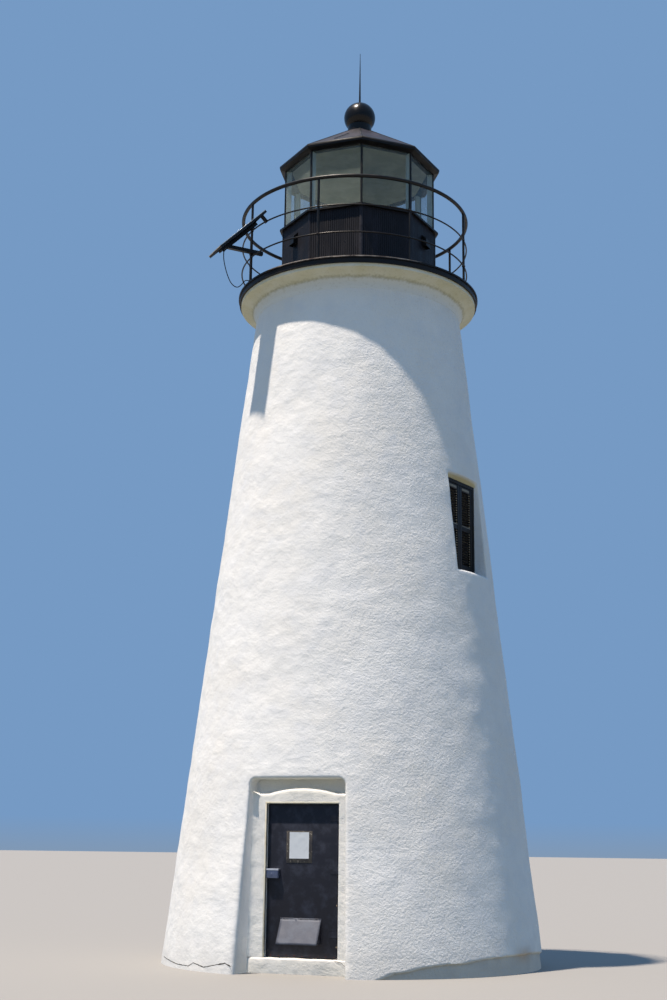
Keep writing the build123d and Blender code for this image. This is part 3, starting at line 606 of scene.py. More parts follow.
def add_bay(bay, bearing, half, foot, head, edge, back, seat, has_foot, head_painted_bounce, corner_radius, taper, flare):
    left, right, low, high = bay
    outward, sideways = bay_axes(bearing)

    def on_wall(side, level):
        return bearing + degrees(asin(side / wall_radius(level))), level

    def in_opening(side, level, out):
        return outward * out + sideways * side + Vector((0, 0, level))

    rows = []
    for key in bay_border(bay, has_foot):
        start_bearing, start_level = column_bearing(key[0]), levels[key[1]]
        u = (start_bearing - left) / (right - left)
        v = (start_level - low) / (high - low)
        side, level = half * (2 * u - 1), foot + (head - foot) * v
        over = Vector((abs(side) - half + corner_radius, level - head + corner_radius))
        if over.x > 0 and over.y > 0:
            over = over.normalized() * corner_radius
            side = (1 if side > 0 else -1) * (half - corner_radius + over.x)
            level = head - corner_radius + over.y
        side *= 1 - taper[side > 0] * v
        rounding = edge * (1 - 0.55 * v)
        wide_side, wide_level = side + flare(u, v)[0], level + flare(u, v)[1]

        def narrowed(share):
            return wide_side + (side - wide_side) * share, wide_level + (level - wide_level) * share

        push = Vector(((u > 0.999) - (u < 0.001), (v > 0.999) - (v < 0.001 and has_foot)))
        push = push.normalized() * rounding
        rim_bearing, rim_level = on_wall(wide_side + push[0], wide_level + push[1])
        spots = []
        for k in range(1, RIM_STEPS + 1):
            share = k / RIM_STEPS
            spot_bearing = start_bearing + (rim_bearing - start_bearing) * share
            spot_level = start_level + (rim_level - start_level) * share
            spots.append((wall_point(spot_bearing, spot_level), wall_tint(spot_bearing, spot_level)))
        rim = spots[-1][0]
        corner = wall_point(*on_wall(wide_side, wide_level))
        depth = corner.dot(outward)
        deep = depth - back
        turn_share = min(0.9, rounding / deep)
        turned_in = in_opening(*narrowed(turn_share), depth - deep * turn_share)
        for k in range(1, TURN_STEPS + 1):
            share = k / TURN_STEPS
            spot = rim * (1 - share) ** 2 + corner * 2 * share * (1 - share) + turned_in * share**2
            spots.append((spot, wall_tint(bearing, max(level, 0.3))))
        # The head's reveal is tinted warm, yellow-olive in the window: painted bounce light from below.
        reveal_tint = head_painted_bounce if v > 0.999 else (0.99, 0.99, 1.0, 1.0)
        for share in (0.33, 0.67, 1.0):
            run = turn_share + (1 - turn_share) * share
            spots.append((in_opening(*narrowed(run), depth - deep * run), reveal_tint))
        if seat:
            spots.append((in_opening(side * seat[0] / half, level * seat[1] / head, back), reveal_tint))
        row = [coat_vert(*key)]
        for spot, tone in spots:
            row.append(coat.verts.new(spot))
            row[-1][tint_layer] = tone
        rows.append(row)
    if has_foot:
        rows.append(rows[0])
    for first, second in zip(rows, rows[1:]):
        for k in range(len(first) - 1):
            coat.faces.new((first[k], first[k + 1], second[k + 1], second[k]))


NICHE_HALF = 0.612
NICHE_HEAD = 2.105
NICHE_BACK = 1.753
PASSAGE_HALF = 0.393
PASSAGE_HEAD = 1.803
WINDOW_BEARING = 74.5
WINDOW_HALF = 0.361
WINDOW_FOOT = 4.665
WINDOW_HEAD = 5.835
WINDOW_FACE = 1.5597
add_bay(
    bay=DOOR_BAY,
    bearing=0.0,
    half=NICHE_HALF,
    foot=0.0,
    head=NICHE_HEAD,
    edge=0.085,
    back=NICHE_BACK,
    seat=(PASSAGE_HALF, PASSAGE_HEAD),
    has_foot=False,
    # Faint warm grey in the niche's head: painted bounce light.
    head_painted_bounce=(0.96, 0.95, 0.93, 1.0),
    corner_radius=0.07,
    taper=(0.045, 0.095),
    flare=lambda u, v: (0.022 * (2 * u - 1) * (1 - v), 0.0),
)
add_bay(
    bay=WINDOW_BAY,
    bearing=WINDOW_BEARING,
    half=WINDOW_HALF - 0.002,
    foot=WINDOW_FOOT + 0.002,
    head=WINDOW_HEAD - 0.002,
    edge=0.03,
    back=WINDOW_FACE - 0.02,
    seat=None,
    has_foot=True,
    # Yellow-olive in the window's head: painted bounce light.
    head_painted_bounce=(0.9, 0.82, 0.56, 1.0),
    corner_radius=0.012,
    taper=(0.0, 0.0),
    flare=lambda u, v: ((0.012 + 0.03 * v) * (u > 0.9), 0.055 * (v > 0.9) - 0.02 * (v < 0.1)),
)
turn_skin(coat, (0, 2.0, 3.0), (0, 1, 0))
WALL_NODES = (
    "front_wall_left", "front_wall_right", "back_wall_left", "back_wall_right", "wall_over_door",
    "middle_wall_right", "middle_wall_left", "window_wall_front", "window_wall_right", "window_wall_back",
    "upper_wall_front", "upper_wall_right", "upper_wall_left",
)  # fmt: skip
keep_piece("stucco_coat", coat, WALL_WHITE, "stucco", WALL_NODES, sharp=60)

# %% [markdown]
# Inside, the wall is plain limewashed brick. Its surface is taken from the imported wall
# segments: their triangles are merged, and only those that lie on the inner cone are
# kept. The passage to the door and the window's opening get their own jambs, sill and
# head, cut to follow the round room.

# %% Inner masonry
INNER_BASE = 1.52
INNER_NECK = 0.915


def inner_radius(level):
    return INNER_BASE + (INNER_NECK - INNER_BASE) * level / WALL_TOP


masonry = bmesh.new()
for node_name in WALL_NODES:
    masonry.from_mesh(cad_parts[node_name].data)
bmesh.ops.remove_doubles(masonry, verts=masonry.verts, dist=0.0002)
stray = [
    face
    for face in masonry.faces
    if any(abs(vert.co.xy.length - inner_radius(vert.co.z)) > 0.002 for vert in face.verts)
]
bmesh.ops.delete(masonry, geom=stray, context="FACES")


def add_passage(form, bearing, half, foot, head, front, has_foot):
    outward, sideways = bay_axes(bearing)

    def inner_spot(side, level):
        return outward * sqrt(inner_radius(level) ** 2 - side**2) + sideways * side + Vector((0, 0, level))

    def front_spot(side, level):
        return outward * front + sideways * side + Vector((0, 0, level))

    jamb_levels = [foot + (head - foot) * k / 8 for k in range(9)]
    sides = [half * (k / 6 - 1) for k in range(13)]
    runs = [[(side, level) for level in jamb_levels] for side in (-half, half)]
    runs += [[(side, level) for side in sides] for level in ((foot, head) if has_foot else (head,))]
    for run in runs:
        add_rings(form, ([front_spot(*spot) for spot in run], [inner_spot(*spot) for spot in run]))


add_passage(masonry, 0.0, PASSAGE_HALF, 0.0, PASSAGE_HEAD, NICHE_BACK, False)
add_passage(masonry, WINDOW_BEARING, WINDOW_HALF, WINDOW_FOOT, WINDOW_HEAD, WINDOW_FACE - 0.06, True)
keep_piece("inner_masonry", masonry, INNER_WHITE, "stucco")

# %% [markdown]
# The door's surround is a band of stucco standing in the niche, square at the jambs and
# with a low arch over the head. Rings run from its outer edge over a softly rounded
# front to the opening, and slow noise makes it hand-made. Beside the jambs it runs out
# into the niche's sides in a hollow. At the lock's height, the left jamb is chipped. The
# arch's upper edge is a piece of its own, surround_top, because it lies in the niche's
# shade while the front stands in the sun.

# %% Door surround
SURROUND_FACE = 1.850
SILL_LEVEL = 0.167
OPENING_LEFT = -0.427
OPENING_RIGHT = 0.439
OPENING_HEAD = 1.836
SHOULDER = 1.952
CROWN_RISE = 0.064
ARCH_HALF = 0.419
CHIP_LEVEL = 1.07
HOLLOW = ((-0.034, 0.07), (-0.012, 0.04), (0.012, 0.018), (0.04, 0.005), (0.075, 0.0005))
ARCH_ROUNDING = 0.045
OPENING_ROUNDING = 0.010
SECTIONS_A_RUN = 60


def arch_level(side):
    if abs(side) >= ARCH_HALF:
        return SHOULDER
    radius = (ARCH_HALF**2 + CROWN_RISE**2) / (2 * CROWN_RISE)
    return SHOULDER + CROWN_RISE - radius + sqrt(radius**2 - side**2)


def surround_pairs():
    def jamb(outer_side, inner_side, share):
        outer = (outer_side, SILL_LEVEL + (SHOULDER - SILL_LEVEL) * share)
        return outer, (inner_side, SILL_LEVEL + (OPENING_HEAD - SILL_LEVEL) * share)

    shares = [k / SECTIONS_A_RUN for k in range(SECTIONS_A_RUN + 1)]
    pairs = [jamb(-NICHE_HALF, OPENING_LEFT, share) for share in shares[:-1]]
    for share in shares:
        side = NICHE_HALF * (2 * share - 1)
        inner = (OPENING_LEFT + (OPENING_RIGHT - OPENING_LEFT) * share, OPENING_HEAD)
        pairs.append(((side, arch_level(side)), inner))
    return pairs + [jamb(NICHE_HALF, OPENING_RIGHT, 1 - share) for share in shares[1:]]


def surround_section(outer, inner):
    width = (Vector(inner) - Vector(outer)).length
    across = (Vector(inner) - Vector(outer)).normalized()
    if outer[1] < SHOULDER - 0.001 or abs(outer[0]) > ARCH_HALF + 0.12:
        start = HOLLOW[-1][0]
        spots = [(HOLLOW[0][0], NICHE_BACK)] + [(run, SURROUND_FACE + proud) for run, proud in HOLLOW]
    else:
        start = ARCH_ROUNDING
        spots = [(0.0, NICHE_BACK), (0.0, SURROUND_FACE - start)]
        spots += [(start * (1 - cos(a)), SURROUND_FACE - start * (1 - sin(a))) for a in (0.4, 0.8, 1.2, pi / 2)]
    flat = width - OPENING_ROUNDING
    spots += [(start + (flat - start) * k / 5, SURROUND_FACE) for k in range(1, 5)]
    spots += [
        (flat + OPENING_ROUNDING * sin(a), SURROUND_FACE - OPENING_ROUNDING * (1 - cos(a))) for a in (0.0, 0.8, pi / 2)
    ]
    spots += [(width, NICHE_BACK)]
    return [(Vector(outer) + across * run, out) for run, out in spots]


def chip_share(side, level, reach):
    return max(0.0, 1 - abs(level - CHIP_LEVEL) / 0.2) * max(0.0, 1 - abs(side - OPENING_LEFT) / reach)


surround = bmesh.new()
surround_tint = surround.verts.layers.float_color.new("tint")
sections = [surround_section(outer, inner) for outer, inner in surround_pairs()]
rings = []
for j in range(len(sections[0])):
    ring = []
    for section in sections:
        flat, out = section[j]
        spot = Vector((flat[0], -out, flat[1]))
        if j not in (0, len(sections[0]) - 1):
            chip = chip_share(flat[0], flat[1], 0.06)
            spot.y += 0.003 * noise.noise(spot * 7) + 0.002 + 0.012 * chip * abs(noise.noise(spot * 38))
        ring.append(spot)
    rings.append(ring)
for ring, row in zip(rings, add_rings(surround, rings)):
    for spot, vert in zip(ring, row):
        chip = chip_share(spot.x, spot.z, 0.05) * (0.5 + noise.noise(spot * 30))
        vert[surround_tint] = (*Vector((1, 1, 0.99)).lerp(Vector((0.66, 0.62, 0.55)), min(1, max(0, chip))), 1.0)
turn_skin(surround, (0.52, -SURROUND_FACE, 1.0), (0, -1, 0))


def on_top(face):
    middle = face.calc_center_median()
    return -middle.y < SURROUND_FACE - 0.014 and middle.z > OPENING_HEAD + 0.05


surround_edge = surround.copy()
for name, form, keeps_top in (("arched_surround", surround, False), ("surround_top", surround_edge, True)):
    others = [face for face in form.faces if on_top(face) != keeps_top]
    bmesh.ops.delete(form, geom=others, context="FACES")
    keep_piece(name, form, WALL_WHITE, "stucco", ("door_surround",), sharp=60)

# %% [markdown]
# The sill is a plastered block whose front edge has worn round. A thin cream strip lines
# the opening at the lock's side and over the door. Cracks are thin dark ribbons of uneven
# width, a millimetre proud of the plaster: one runs low round the wall's left foot, one
# across the sill's right end.

# %% Sill and strip
SILL_FACE = 1.868
SILL_ROUNDING = 0.02
sill = bmesh.new()
sill_tint = sill.verts.layers.float_color.new("tint")
shoulder = SILL_LEVEL - SILL_ROUNDING
profile = [(NICHE_BACK, 0.0), (SILL_FACE, 0.0), (SILL_FACE, 0.08), (SILL_FACE, shoulder)]
for a in (0.5, 1.05, pi / 2):
    profile.append((SILL_FACE - SILL_ROUNDING * (1 - cos(a)), shoulder + SILL_ROUNDING * sin(a)))
profile += [(1.80, SILL_LEVEL), (NICHE_BACK, SILL_LEVEL)]
rings = []
for k in range(49):
    ring = []
    for out, level in profile:
        spot = Vector(((NICHE_HALF + 0.02) * (k / 24 - 1), -out, level))
        wave = 0.006 * noise.noise(spot * 6) + 0.003 * noise.noise(spot * 25) + 0.004
        if out > 1.79:
            spot.y += wave
            spot.z -= wave * 0.6 * (level > 0.1)
        ring.append(spot)
    rings.append(ring)
rows = add_rings(sill, rings)
for row in (rows[0], rows[-1]):
    sill.faces.new(row)
for vert in sill.verts:
    vert[sill_tint] = (0.985, 0.98, 0.96, 1.0)
turn_faces(sill)
keep_piece("worn_sill", sill, WALL_WHITE, "stucco", ("door_sill",), sharp=60)

STRIP_FRONT = -SURROUND_FACE - 0.001
STRIP_BACK = -1.81
STRIP_LEFT = OPENING_LEFT - 0.016
strip = bmesh.new()
add_block(strip, (STRIP_LEFT, STRIP_FRONT, SILL_LEVEL), (OPENING_LEFT, STRIP_BACK, OPENING_HEAD), 0.003)
add_block(strip, (STRIP_LEFT, STRIP_FRONT, OPENING_HEAD), (OPENING_RIGHT, STRIP_BACK, OPENING_HEAD + 0.018), 0.003)
keep_piece("cream_strip", strip, CREAM_STRIP, "stucco")

# %% Cracks
FOOT_CRACK = (
    (-56.7, 0.089), (-49.0, 0.070), (-41.5, 0.047), (-34.7, 0.046), (-32.3, 0.087), (-27.3, 0.052), (-23.2, 0.083),
    (-18.9, 0.113), (-16.6, 0.080),
)  # fmt: skip
FOOT_CRACK_STEP = 0.4
SILL_CRACK = ((0.406, 0.158), (0.44, 0.150), (0.482, 0.147), (0.51, 0.126), (0.541, 0.098))
SILL_CRACK_STEP = 0.0135


def add_ribbon(form, spots, facing, width):
    upper, lower = [], []
    for k, spot in enumerate(spots):
        thick = width * (0.35 + abs(noise.noise(spot * 23))) * min(1.0, 0.25 + k, 0.25 + len(spots) - 1 - k)
        upper.append(spot + facing(spot) * 0.0015 + Vector((0, 0, thick)))
        lower.append(spot + facing(spot) * 0.0015 - Vector((0, 0, thick)))
    add_rings(form, (upper, lower))


cracks = bmesh.new()
crack_spots = []
bearing = FOOT_CRACK[0][0]
while bearing < FOOT_CRACK[-1][0]:
    jitter = 0.006 * noise.noise(Vector((bearing * 1.7, 0, 0)))
    crack_spots.append(wall_point(bearing, along(FOOT_CRACK, bearing) + jitter))
    bearing += FOOT_CRACK_STEP
add_ribbon(cracks, crack_spots, lambda spot: Vector((spot.x, spot.y, 0)).normalized(), 0.008)
sill_spots = []
for k in range(11):
    side = SILL_CRACK[0][0] + SILL_CRACK_STEP * k
    sill_spots.append(Vector((side, -SILL_FACE + 0.001, along(SILL_CRACK, min(SILL_CRACK[-1][0], side)))))
add_ribbon(cracks, sill_spots, lambda spot: Vector((0, -1, 0)), 0.004)
turn_faces(cracks, lambda middle: middle)
keep_piece("plaster_cracks", cracks, CRACK_DARK, "stucco")

# %% [markdown]
# Geometry Nodes do the repeating. The first tree takes one part as its input, lays a row
# of copies, turns the whole row round the tower as often as asked, makes the copies real
# and gives them their finish. The second puts small round heads on the points of its
# input, each a little different by a fixed seed: screws, nails and rail knobs.

# %% Repeating trees
def new_tree(name, inputs):
    tree = bpy.data.node_groups.new(name, "GeometryNodeTree")
    tree.interface.new_socket("Geometry", in_out="INPUT", socket_type="NodeSocketGeometry")
    for label, kind, value in inputs:
        socket = tree.interface.new_socket(label, in_out="INPUT", socket_type="NodeSocket" + kind)
        if value is not None:
            socket.default_value = value
    tree.interface.new_socket("Geometry", in_out="OUTPUT", socket_type="NodeSocketGeometry")
    return tree, tree.nodes.new("NodeGroupInput").outputs


def close_tree(tree, given, copies):
    real = add_node(tree, "GeometryNodeRealizeInstances", None, {0: copies}).outputs[0]
    dressed = add_node(tree, "GeometryNodeSetMaterial", None, {"Geometry": real, "Material": given["Material"]})
    add_node(tree, "NodeGroupOutput", None, {0: dressed.outputs[0]})


def ring_tree():
    inputs = (
        ("Row count", "Int", 1),
        ("Row step", "Vector", (0.0, 0.0, 0.0)),
        ("Ring count", "Int", 1),
        ("First turn", "Float", 0.0),
        ("Unevenness", "Float", 0.0),
        ("Seed", "Int", 7),
        ("Material", "Material", None),
    )
    tree, given = new_tree("copies_in_rows_round_the_tower", inputs)
    count, step, rings, uneven = (given[name] for name in ("Row count", "Row step", "Ring count", "Unevenness"))
    shift = add_node(tree, "ShaderNodeMath", {"operation": "MULTIPLY_ADD", 1: -0.5, 2: 0.5}, {0: count}).outputs[0]
    start = add_node(tree, "ShaderNodeVectorMath", {"operation": "SCALE"}, {0: step, "Scale": shift}).outputs[0]
    line_links = {"Count": count, "Start Location": start, "Offset": step}
    line = add_node(tree, "GeometryNodeMeshLine", {"mode": "OFFSET"}, line_links).outputs[0]
    least = add_node(tree, "ShaderNodeMath", {"operation": "MULTIPLY", 1: -1.0}, {0: uneven}).outputs[0]
    random_links = {2: least, 3: uneven, "Seed": given["Seed"]}
    push = add_node(tree, "FunctionNodeRandomValue", {"data_type": "FLOAT"}, random_links).outputs[1]
    offset = add_node(tree, "ShaderNodeCombineXYZ", None, {"Y": push}).outputs[0]
    spots = add_node(tree, "GeometryNodeSetPosition", None, {"Geometry": line, "Offset": offset}).outputs[0]
    row_links = {"Points": spots, "Instance": given["Geometry"]}
    row = add_node(tree, "GeometryNodeInstanceOnPoints", None, row_links).outputs[0]
    stations = add_node(tree, "GeometryNodePoints", None, {"Count": rings}).outputs[0]
    angle = add_node(tree, "ShaderNodeMath", {"operation": "DIVIDE", 0: 2 * pi}, {1: rings}).outputs[0]
    number = add_node(tree, "GeometryNodeInputIndex").outputs[0]
    turn_links = {0: number, 1: angle, 2: given["First turn"]}
    turn = add_node(tree, "ShaderNodeMath", {"operation": "MULTIPLY_ADD"}, turn_links).outputs[0]
    rotation = add_node(tree, "ShaderNodeCombineXYZ", None, {"Z": turn}).outputs[0]
    ring_links = {"Points": stations, "Instance": row, "Rotation": rotation}
    close_tree(tree, given, add_node(tree, "GeometryNodeInstanceOnPoints", None, ring_links).outputs[0])
    return tree


def head_tree():
    inputs = (
        ("Head radius", "Float", 0.006),
        ("Flatness", "Vector", (1.0, 1.0, 1.0)),
        ("Seed", "Int", 3),
        ("Material", "Material", None),
    )
    tree, given = new_tree("heads_on_points", inputs)
    ball_links = {"Radius": given["Head radius"]}
    ball = add_node(tree, "GeometryNodeMeshUVSphere", {"Segments": 8, "Rings": 5}, ball_links).outputs[0]
    flat = add_node(tree, "GeometryNodeTransform", None, {"Geometry": ball, "Scale": given["Flatness"]}).outputs[0]
    spread = {"data_type": "FLOAT", 2: 0.85, 3: 1.15}
    size = add_node(tree, "FunctionNodeRandomValue", spread, {"Seed": given["Seed"]}).outputs[1]
    head_links = {"Points": given["Geometry"], "Instance": flat, "Scale": size}
    close_tree(tree, given, add_node(tree, "GeometryNodeInstanceOnPoints", None, head_links).outputs[0])
    return tree


RING_TREE, HEAD_TREE = ring_tree(), head_tree()


def grown(form, tree, values):
    mesh = bpy.data.meshes.new("one_part")
    form.to_mesh(mesh)
    form.free()
    maker = bpy.data.objects.new("maker", mesh)
    bpy.context.scene.collection.objects.link(maker)
    modifier = maker.modifiers.new("repeat", "NODES")
    modifier.node_group = tree
    for item in tree.interface.items_tree:
        if item.in_out == "INPUT" and item.name in values:
            modifier[item.identifier] = values[item.name]
    made = bpy.data.meshes.new_from_object(maker.evaluated_get(bpy.context.evaluated_depsgraph_get()))
    maker.modifiers.clear()
    bpy.data.objects.remove(maker)
    return made


def keep_copies(name, form, tree, values, finish, slot, **rest):
    keep_piece(name, grown(form, tree, {**values, "Material": finish}), finish, slot, **rest)


def keep_heads(name, spots, radius, flatness, finish, slot, seed=3, **rest):
    form = bmesh.new()
    for spot in spots:
        form.verts.new(spot)
    values = {"Head radius": radius, "Flatness": flatness, "Seed": seed}
    keep_copies(name, form, HEAD_TREE, values, finish, slot, **rest)


print("trees", RING_TREE.name, HEAD_TREE.name)

# %% [markdown]
# The door is a board leaf faced with painted sheet. The leaf keeps softly broken edges;
# the sheet stops 5 mm short of them, with its screw heads in a row along each side. The
# inner side shows six boards and three ledges. All of it rides on the door's own body, so
# it swings with the hinge.

# %% Door leaf
DOOR_HALF = 0.419
DOOR_FOOT = 0.175
DOOR_TOP = 1.829
DOOR_FACE = 1.798
DOOR_THICKNESS = 0.040
BOARD_COUNT = 6
LEAF_BACK = -1.775
BOARDS_BACK = -1.7655
BOARD_SEAM = 0.003
LEDGE_LEVELS = (0.32, 0.95, 1.60)
LEDGE_HALF = 0.37
LEDGE_HEIGHT = 0.11
SCREWS_A_SIDE = 9
SCREW_INSET = 0.022
leaf = bmesh.new()
add_block(leaf, (-DOOR_HALF, -DOOR_FACE + 0.001, DOOR_FOOT), (DOOR_HALF, LEAF_BACK, DOOR_TOP), 0.003)
facing_low = (-DOOR_HALF + 0.005, -DOOR_FACE, DOOR_FOOT + 0.004)
add_block(leaf, facing_low, (DOOR_HALF - 0.005, -1.79, DOOR_TOP - 0.005), 0.001)
for k in range(BOARD_COUNT):
    left = -DOOR_HALF + 2 * DOOR_HALF * k / BOARD_COUNT
    right = left + 2 * DOOR_HALF / BOARD_COUNT - BOARD_SEAM
    add_block(leaf, (left, LEAF_BACK - 0.001, DOOR_FOOT), (right, BOARDS_BACK, DOOR_TOP), 0.002)
ledge_back = -DOOR_FACE + DOOR_THICKNESS
for level in LEDGE_LEVELS:
    ledge_low = (-LEDGE_HALF, BOARDS_BACK - 0.0005, level)
    add_block(leaf, ledge_low, (LEDGE_HALF, ledge_back, level + LEDGE_HEIGHT), 0.003)
keep_piece("sheet_faced_door", leaf, DOOR_BLACK, "door_paint", ("door_leaf",), body="door")

screw_spots = []
for k in range(SCREWS_A_SIDE):
    level = DOOR_FOOT + 0.06 + (DOOR_TOP - DOOR_FOOT - 0.12) * k / (SCREWS_A_SIDE - 1)
    screw_spots += [(side, -DOOR_FACE, level) for side in (-DOOR_HALF + SCREW_INSET, DOOR_HALF - SCREW_INSET)]
for k in range(1, 4):
    side = -DOOR_HALF + 2 * DOOR_HALF * k / 4
    screw_spots += [(side, -DOOR_FACE, level) for level in (DOOR_FOOT + 0.03, DOOR_TOP - 0.03)]
keep_heads("door_screws", screw_spots, 0.0055, (1, 0.4, 1), DOOR_BLACK, "door_paint", body="door")

# %% [markdown]
# The lock is a small steel box with an unpainted, lighter lid that laps over its top, and a
# raised round cover over the keyhole. The notice is a blank sheet, slightly buckled, on a
# dark backing plate with a screw in each corner. The plate's dark border below and to the
# right of the sheet is also painted shadow of the sheet.

# %% Lock and notice
LOCK_FRONT = -1.855
LOCK_RELIEF = LOCK_FRONT - 0.0008
KEYHOLE_SIDE = -0.352
KEYHOLE_LEVEL = 1.058
LID_LEFT = -0.4125
LID_RIGHT = -0.2655
LID_TOP = 1.120
BACKING_FRONT = -1.8025
lock = bmesh.new()
cover_rings = []
for radius, out in ((0.014, LOCK_RELIEF + 0.0015), (0.012, LOCK_RELIEF - 0.0015)):
    turns = [2 * pi * k / 20 for k in range(20)]
    cover_rings.append([Vector((KEYHOLE_SIDE + radius * sin(a), out, KEYHOLE_LEVEL + radius * cos(a))) for a in turns])
for row in add_rings(lock, cover_rings, closed=True):
    lock.faces.new(row)
add_block(lock, (-0.3, LOCK_RELIEF, 1.03), (-0.285, LOCK_FRONT + 0.002, 1.098), 0.0012)
add_block(lock, (-0.411, LOCK_FRONT, 1.016), (-0.273, -DOOR_FACE, 1.112), 0.005, 3)
turn_faces(lock)
keep_piece("lock_case", lock, LOCK_STEEL, "lock_steel", ("lock_box",), body="door")
lid = bmesh.new()
add_block(lid, (LID_LEFT, LOCK_FRONT - 0.002, 1.1125), (LID_RIGHT, -DOOR_FACE - 0.001, LID_TOP), 0.0018)
add_block(lid, (LID_LEFT, LOCK_FRONT - 0.0025, 1.101), (LID_RIGHT, LOCK_FRONT, LID_TOP), 0.0008)
keep_piece("lock_lid", lid, LOCK_LID, "lock_steel", body="door")

# The plate's dark border below and to the right of the sheet is partly painted shadow.
backing = bmesh.new()
add_block(backing, (-0.196, -1.8010, 1.184), (0.112, -DOOR_FACE, 1.534), 0.0012)
add_block(backing, (-0.179, BACKING_FRONT, 1.198), (0.090, BACKING_FRONT + 0.002, 1.528), 0.001)
keep_piece("notice_backing", backing, BACKING_BROWN, "notice_paper", ("notice_board",), body="door")

SHEET_LEFT = -0.158
SHEET_WIDTH = 0.232
SHEET_FOOT = 1.232
SHEET_HEIGHT = 0.289
SHEET_ROWS = 18
SHEET_COLUMNS = 14
notice = bmesh.new()
front, back = [], []
for j in range(SHEET_ROWS + 1):
    row, under = [], []
    for k in range(SHEET_COLUMNS + 1):
        side = SHEET_LEFT + SHEET_WIDTH * k / SHEET_COLUMNS
        level = SHEET_FOOT + SHEET_HEIGHT * j / SHEET_ROWS
        bow = 0.0012 + 0.0016 * abs(noise.noise(Vector((side * 14, level * 14, 3))))
        bow += 0.0018 * max(0.0, 1 - j / 4) * abs(k - 7) / 7
        row.append(Vector((side, BACKING_FRONT - bow, level)))
        under.append(Vector((side, BACKING_FRONT + 0.0003, level)))
    front.append(row)
    back.append(under)
rows, under_rows = add_rings(notice, front), add_rings(notice, back)
rim = [(row[0], under[0]) for row, under in zip(rows, under_rows)]
rim += list(zip(rows[-1][1:], under_rows[-1][1:]))
rim += [(row[-1], under[-1]) for row, under in list(zip(rows, under_rows))[-2::-1]]
rim += list(zip(rows[0], under_rows[0]))[-2::-1]
for (a, b), (c, d) in zip(rim, rim[1:]):
    notice.faces.new((a, c, d, b))
turn_faces(notice)
keep_piece("blank_notice", notice, PAPER_WHITE, "notice_paper", body="door", sharp=60)
corner_spots = [(side, BACKING_FRONT - 0.001, level) for side in (-0.168, 0.082) for level in (1.215, 1.5235)]
keep_heads("notice_screws", corner_spots, 0.004, (1, 0.5, 1), BACKING_BROWN, "notice_paper", body="door")

# %% [markdown]
# The vent hood is one folded sheet, open below: a sloping front, two cheeks, and narrow
# flanges that lie flat on the door and take the screws. It is drawn as an open skin with
# slight dents, which Solidify then turns into 2.5 mm sheet. The cheeks are black, as the
# door is: painted shade on the sides of the zinc hood.

# %% Vent hood
HOOD_LEFT = -0.251
HOOD_RIGHT = 0.233
HOOD_FOOT = 0.316
HOOD_TOP = 0.578
HOOD_REACH = 0.150
HOOD_SHEET = 0.0025
FLANGE_OUT = -DOOR_FACE - 0.003
FLANGE_WIDTH = 0.014
HOOD_ROWS = 12
HOOD_COLUMNS = 16
hood, cheeks = bmesh.new(), bmesh.new()
slope_rows, left_rows, right_rows = [], [], []
for j in range(HOOD_ROWS + 1):
    share = j / HOOD_ROWS
    out = DOOR_FACE + 0.004 + (HOOD_REACH - 0.004) * share
    level = HOOD_TOP - (HOOD_TOP - HOOD_FOOT) * share
    row = []
    for k in range(HOOD_COLUMNS + 1):
        spot = Vector((HOOD_LEFT + (HOOD_RIGHT - HOOD_LEFT) * k / HOOD_COLUMNS, -out, level))
        calm = min(1.0, k / 2, (HOOD_COLUMNS - k) / 2)
        spot.y += calm * (0.003 * noise.noise(spot * 9) + 0.002)
        row.append(spot)
    slope_rows.append(row)
    left_rows.append([row[0].lerp(Vector((HOOD_LEFT, FLANGE_OUT, level)), k / 4) for k in range(5)])
    right_rows.append([row[-1].lerp(Vector((HOOD_RIGHT, FLANGE_OUT, level)), k / 4) for k in range(5)])
add_rings(hood, slope_rows)
add_rings(cheeks, left_rows)
add_rings(cheeks, right_rows)
for side, inward in ((HOOD_LEFT, FLANGE_WIDTH), (HOOD_RIGHT, -FLANGE_WIDTH)):
    flange_levels = [HOOD_FOOT + (HOOD_TOP - HOOD_FOOT) * j / 6 for j in range(7)]
    add_rings(cheeks, [[Vector((side + inward * k, FLANGE_OUT, level)) for k in range(2)] for level in flange_levels])
top_rows = [[Vector((HOOD_LEFT + 0.0605 * k, FLANGE_OUT, HOOD_TOP + 0.013 * j)) for k in range(9)] for j in range(2)]
add_rings(hood, top_rows)
for form in (hood, cheeks):
    bmesh.ops.remove_doubles(form, verts=form.verts, dist=0.0006)
turn_skin(hood, (0, -1.87, 0.45), (0, -1, 0))
turn_faces(cheeks, lambda middle: Vector((middle.x - (HOOD_LEFT + HOOD_RIGHT) / 2, 0, 0)))
for piece in (
    keep_piece("folded_hood", hood, HOOD_STEEL, "hood_zinc", ("vent_hood",), body="door"),
    # The cheeks take the door's black: painted shade on the hood's sides.
    keep_piece("hood_cheeks", cheeks, DOOR_BLACK, "hood_zinc", body="door"),
):
    sheet = piece.modifiers.new("sheet", "SOLIDIFY")
    sheet.thickness = HOOD_SHEET
    sheet.offset = -1.0
hood_spots = [(side, FLANGE_OUT, HOOD_TOP + 0.007) for side in (-0.2, -0.009, 0.18)]
hood_spots += [(-0.22, -1.939, 0.331), (-0.02, -1.943, 0.324)]
keep_heads("hood_screws", hood_spots, 0.005, (1, 0.5, 1), BACKING_BROWN, "hood_zinc", body="door")

# %% [markdown]
# Paint has chipped off the door where its hinges rub, and rust has come through along
# its foot: a few flat specks, a millimetre high, each a little different.

# %% Paint chips and rust
chip_spots = [(0.410, -DOOR_FACE, level) for level in (1.074, 0.735, 0.404, 0.296)]
keep_heads("paint_chips", chip_spots, 0.008, (0.7, 0.15, 1), SLAT_HIGHLIGHT_AND_CHIP_PAINT, "door_paint", body="door")
rust_spots = [(-0.36 + 0.093 * k, -DOOR_FACE, 0.190 + 0.012 * noise.noise(Vector((k * 1.7, 0, 0)))) for k in range(9)]
keep_heads("rust_specks", rust_spots, 0.007, (1, 0.15, 0.6), RUST_RED, "door_paint", body="door")
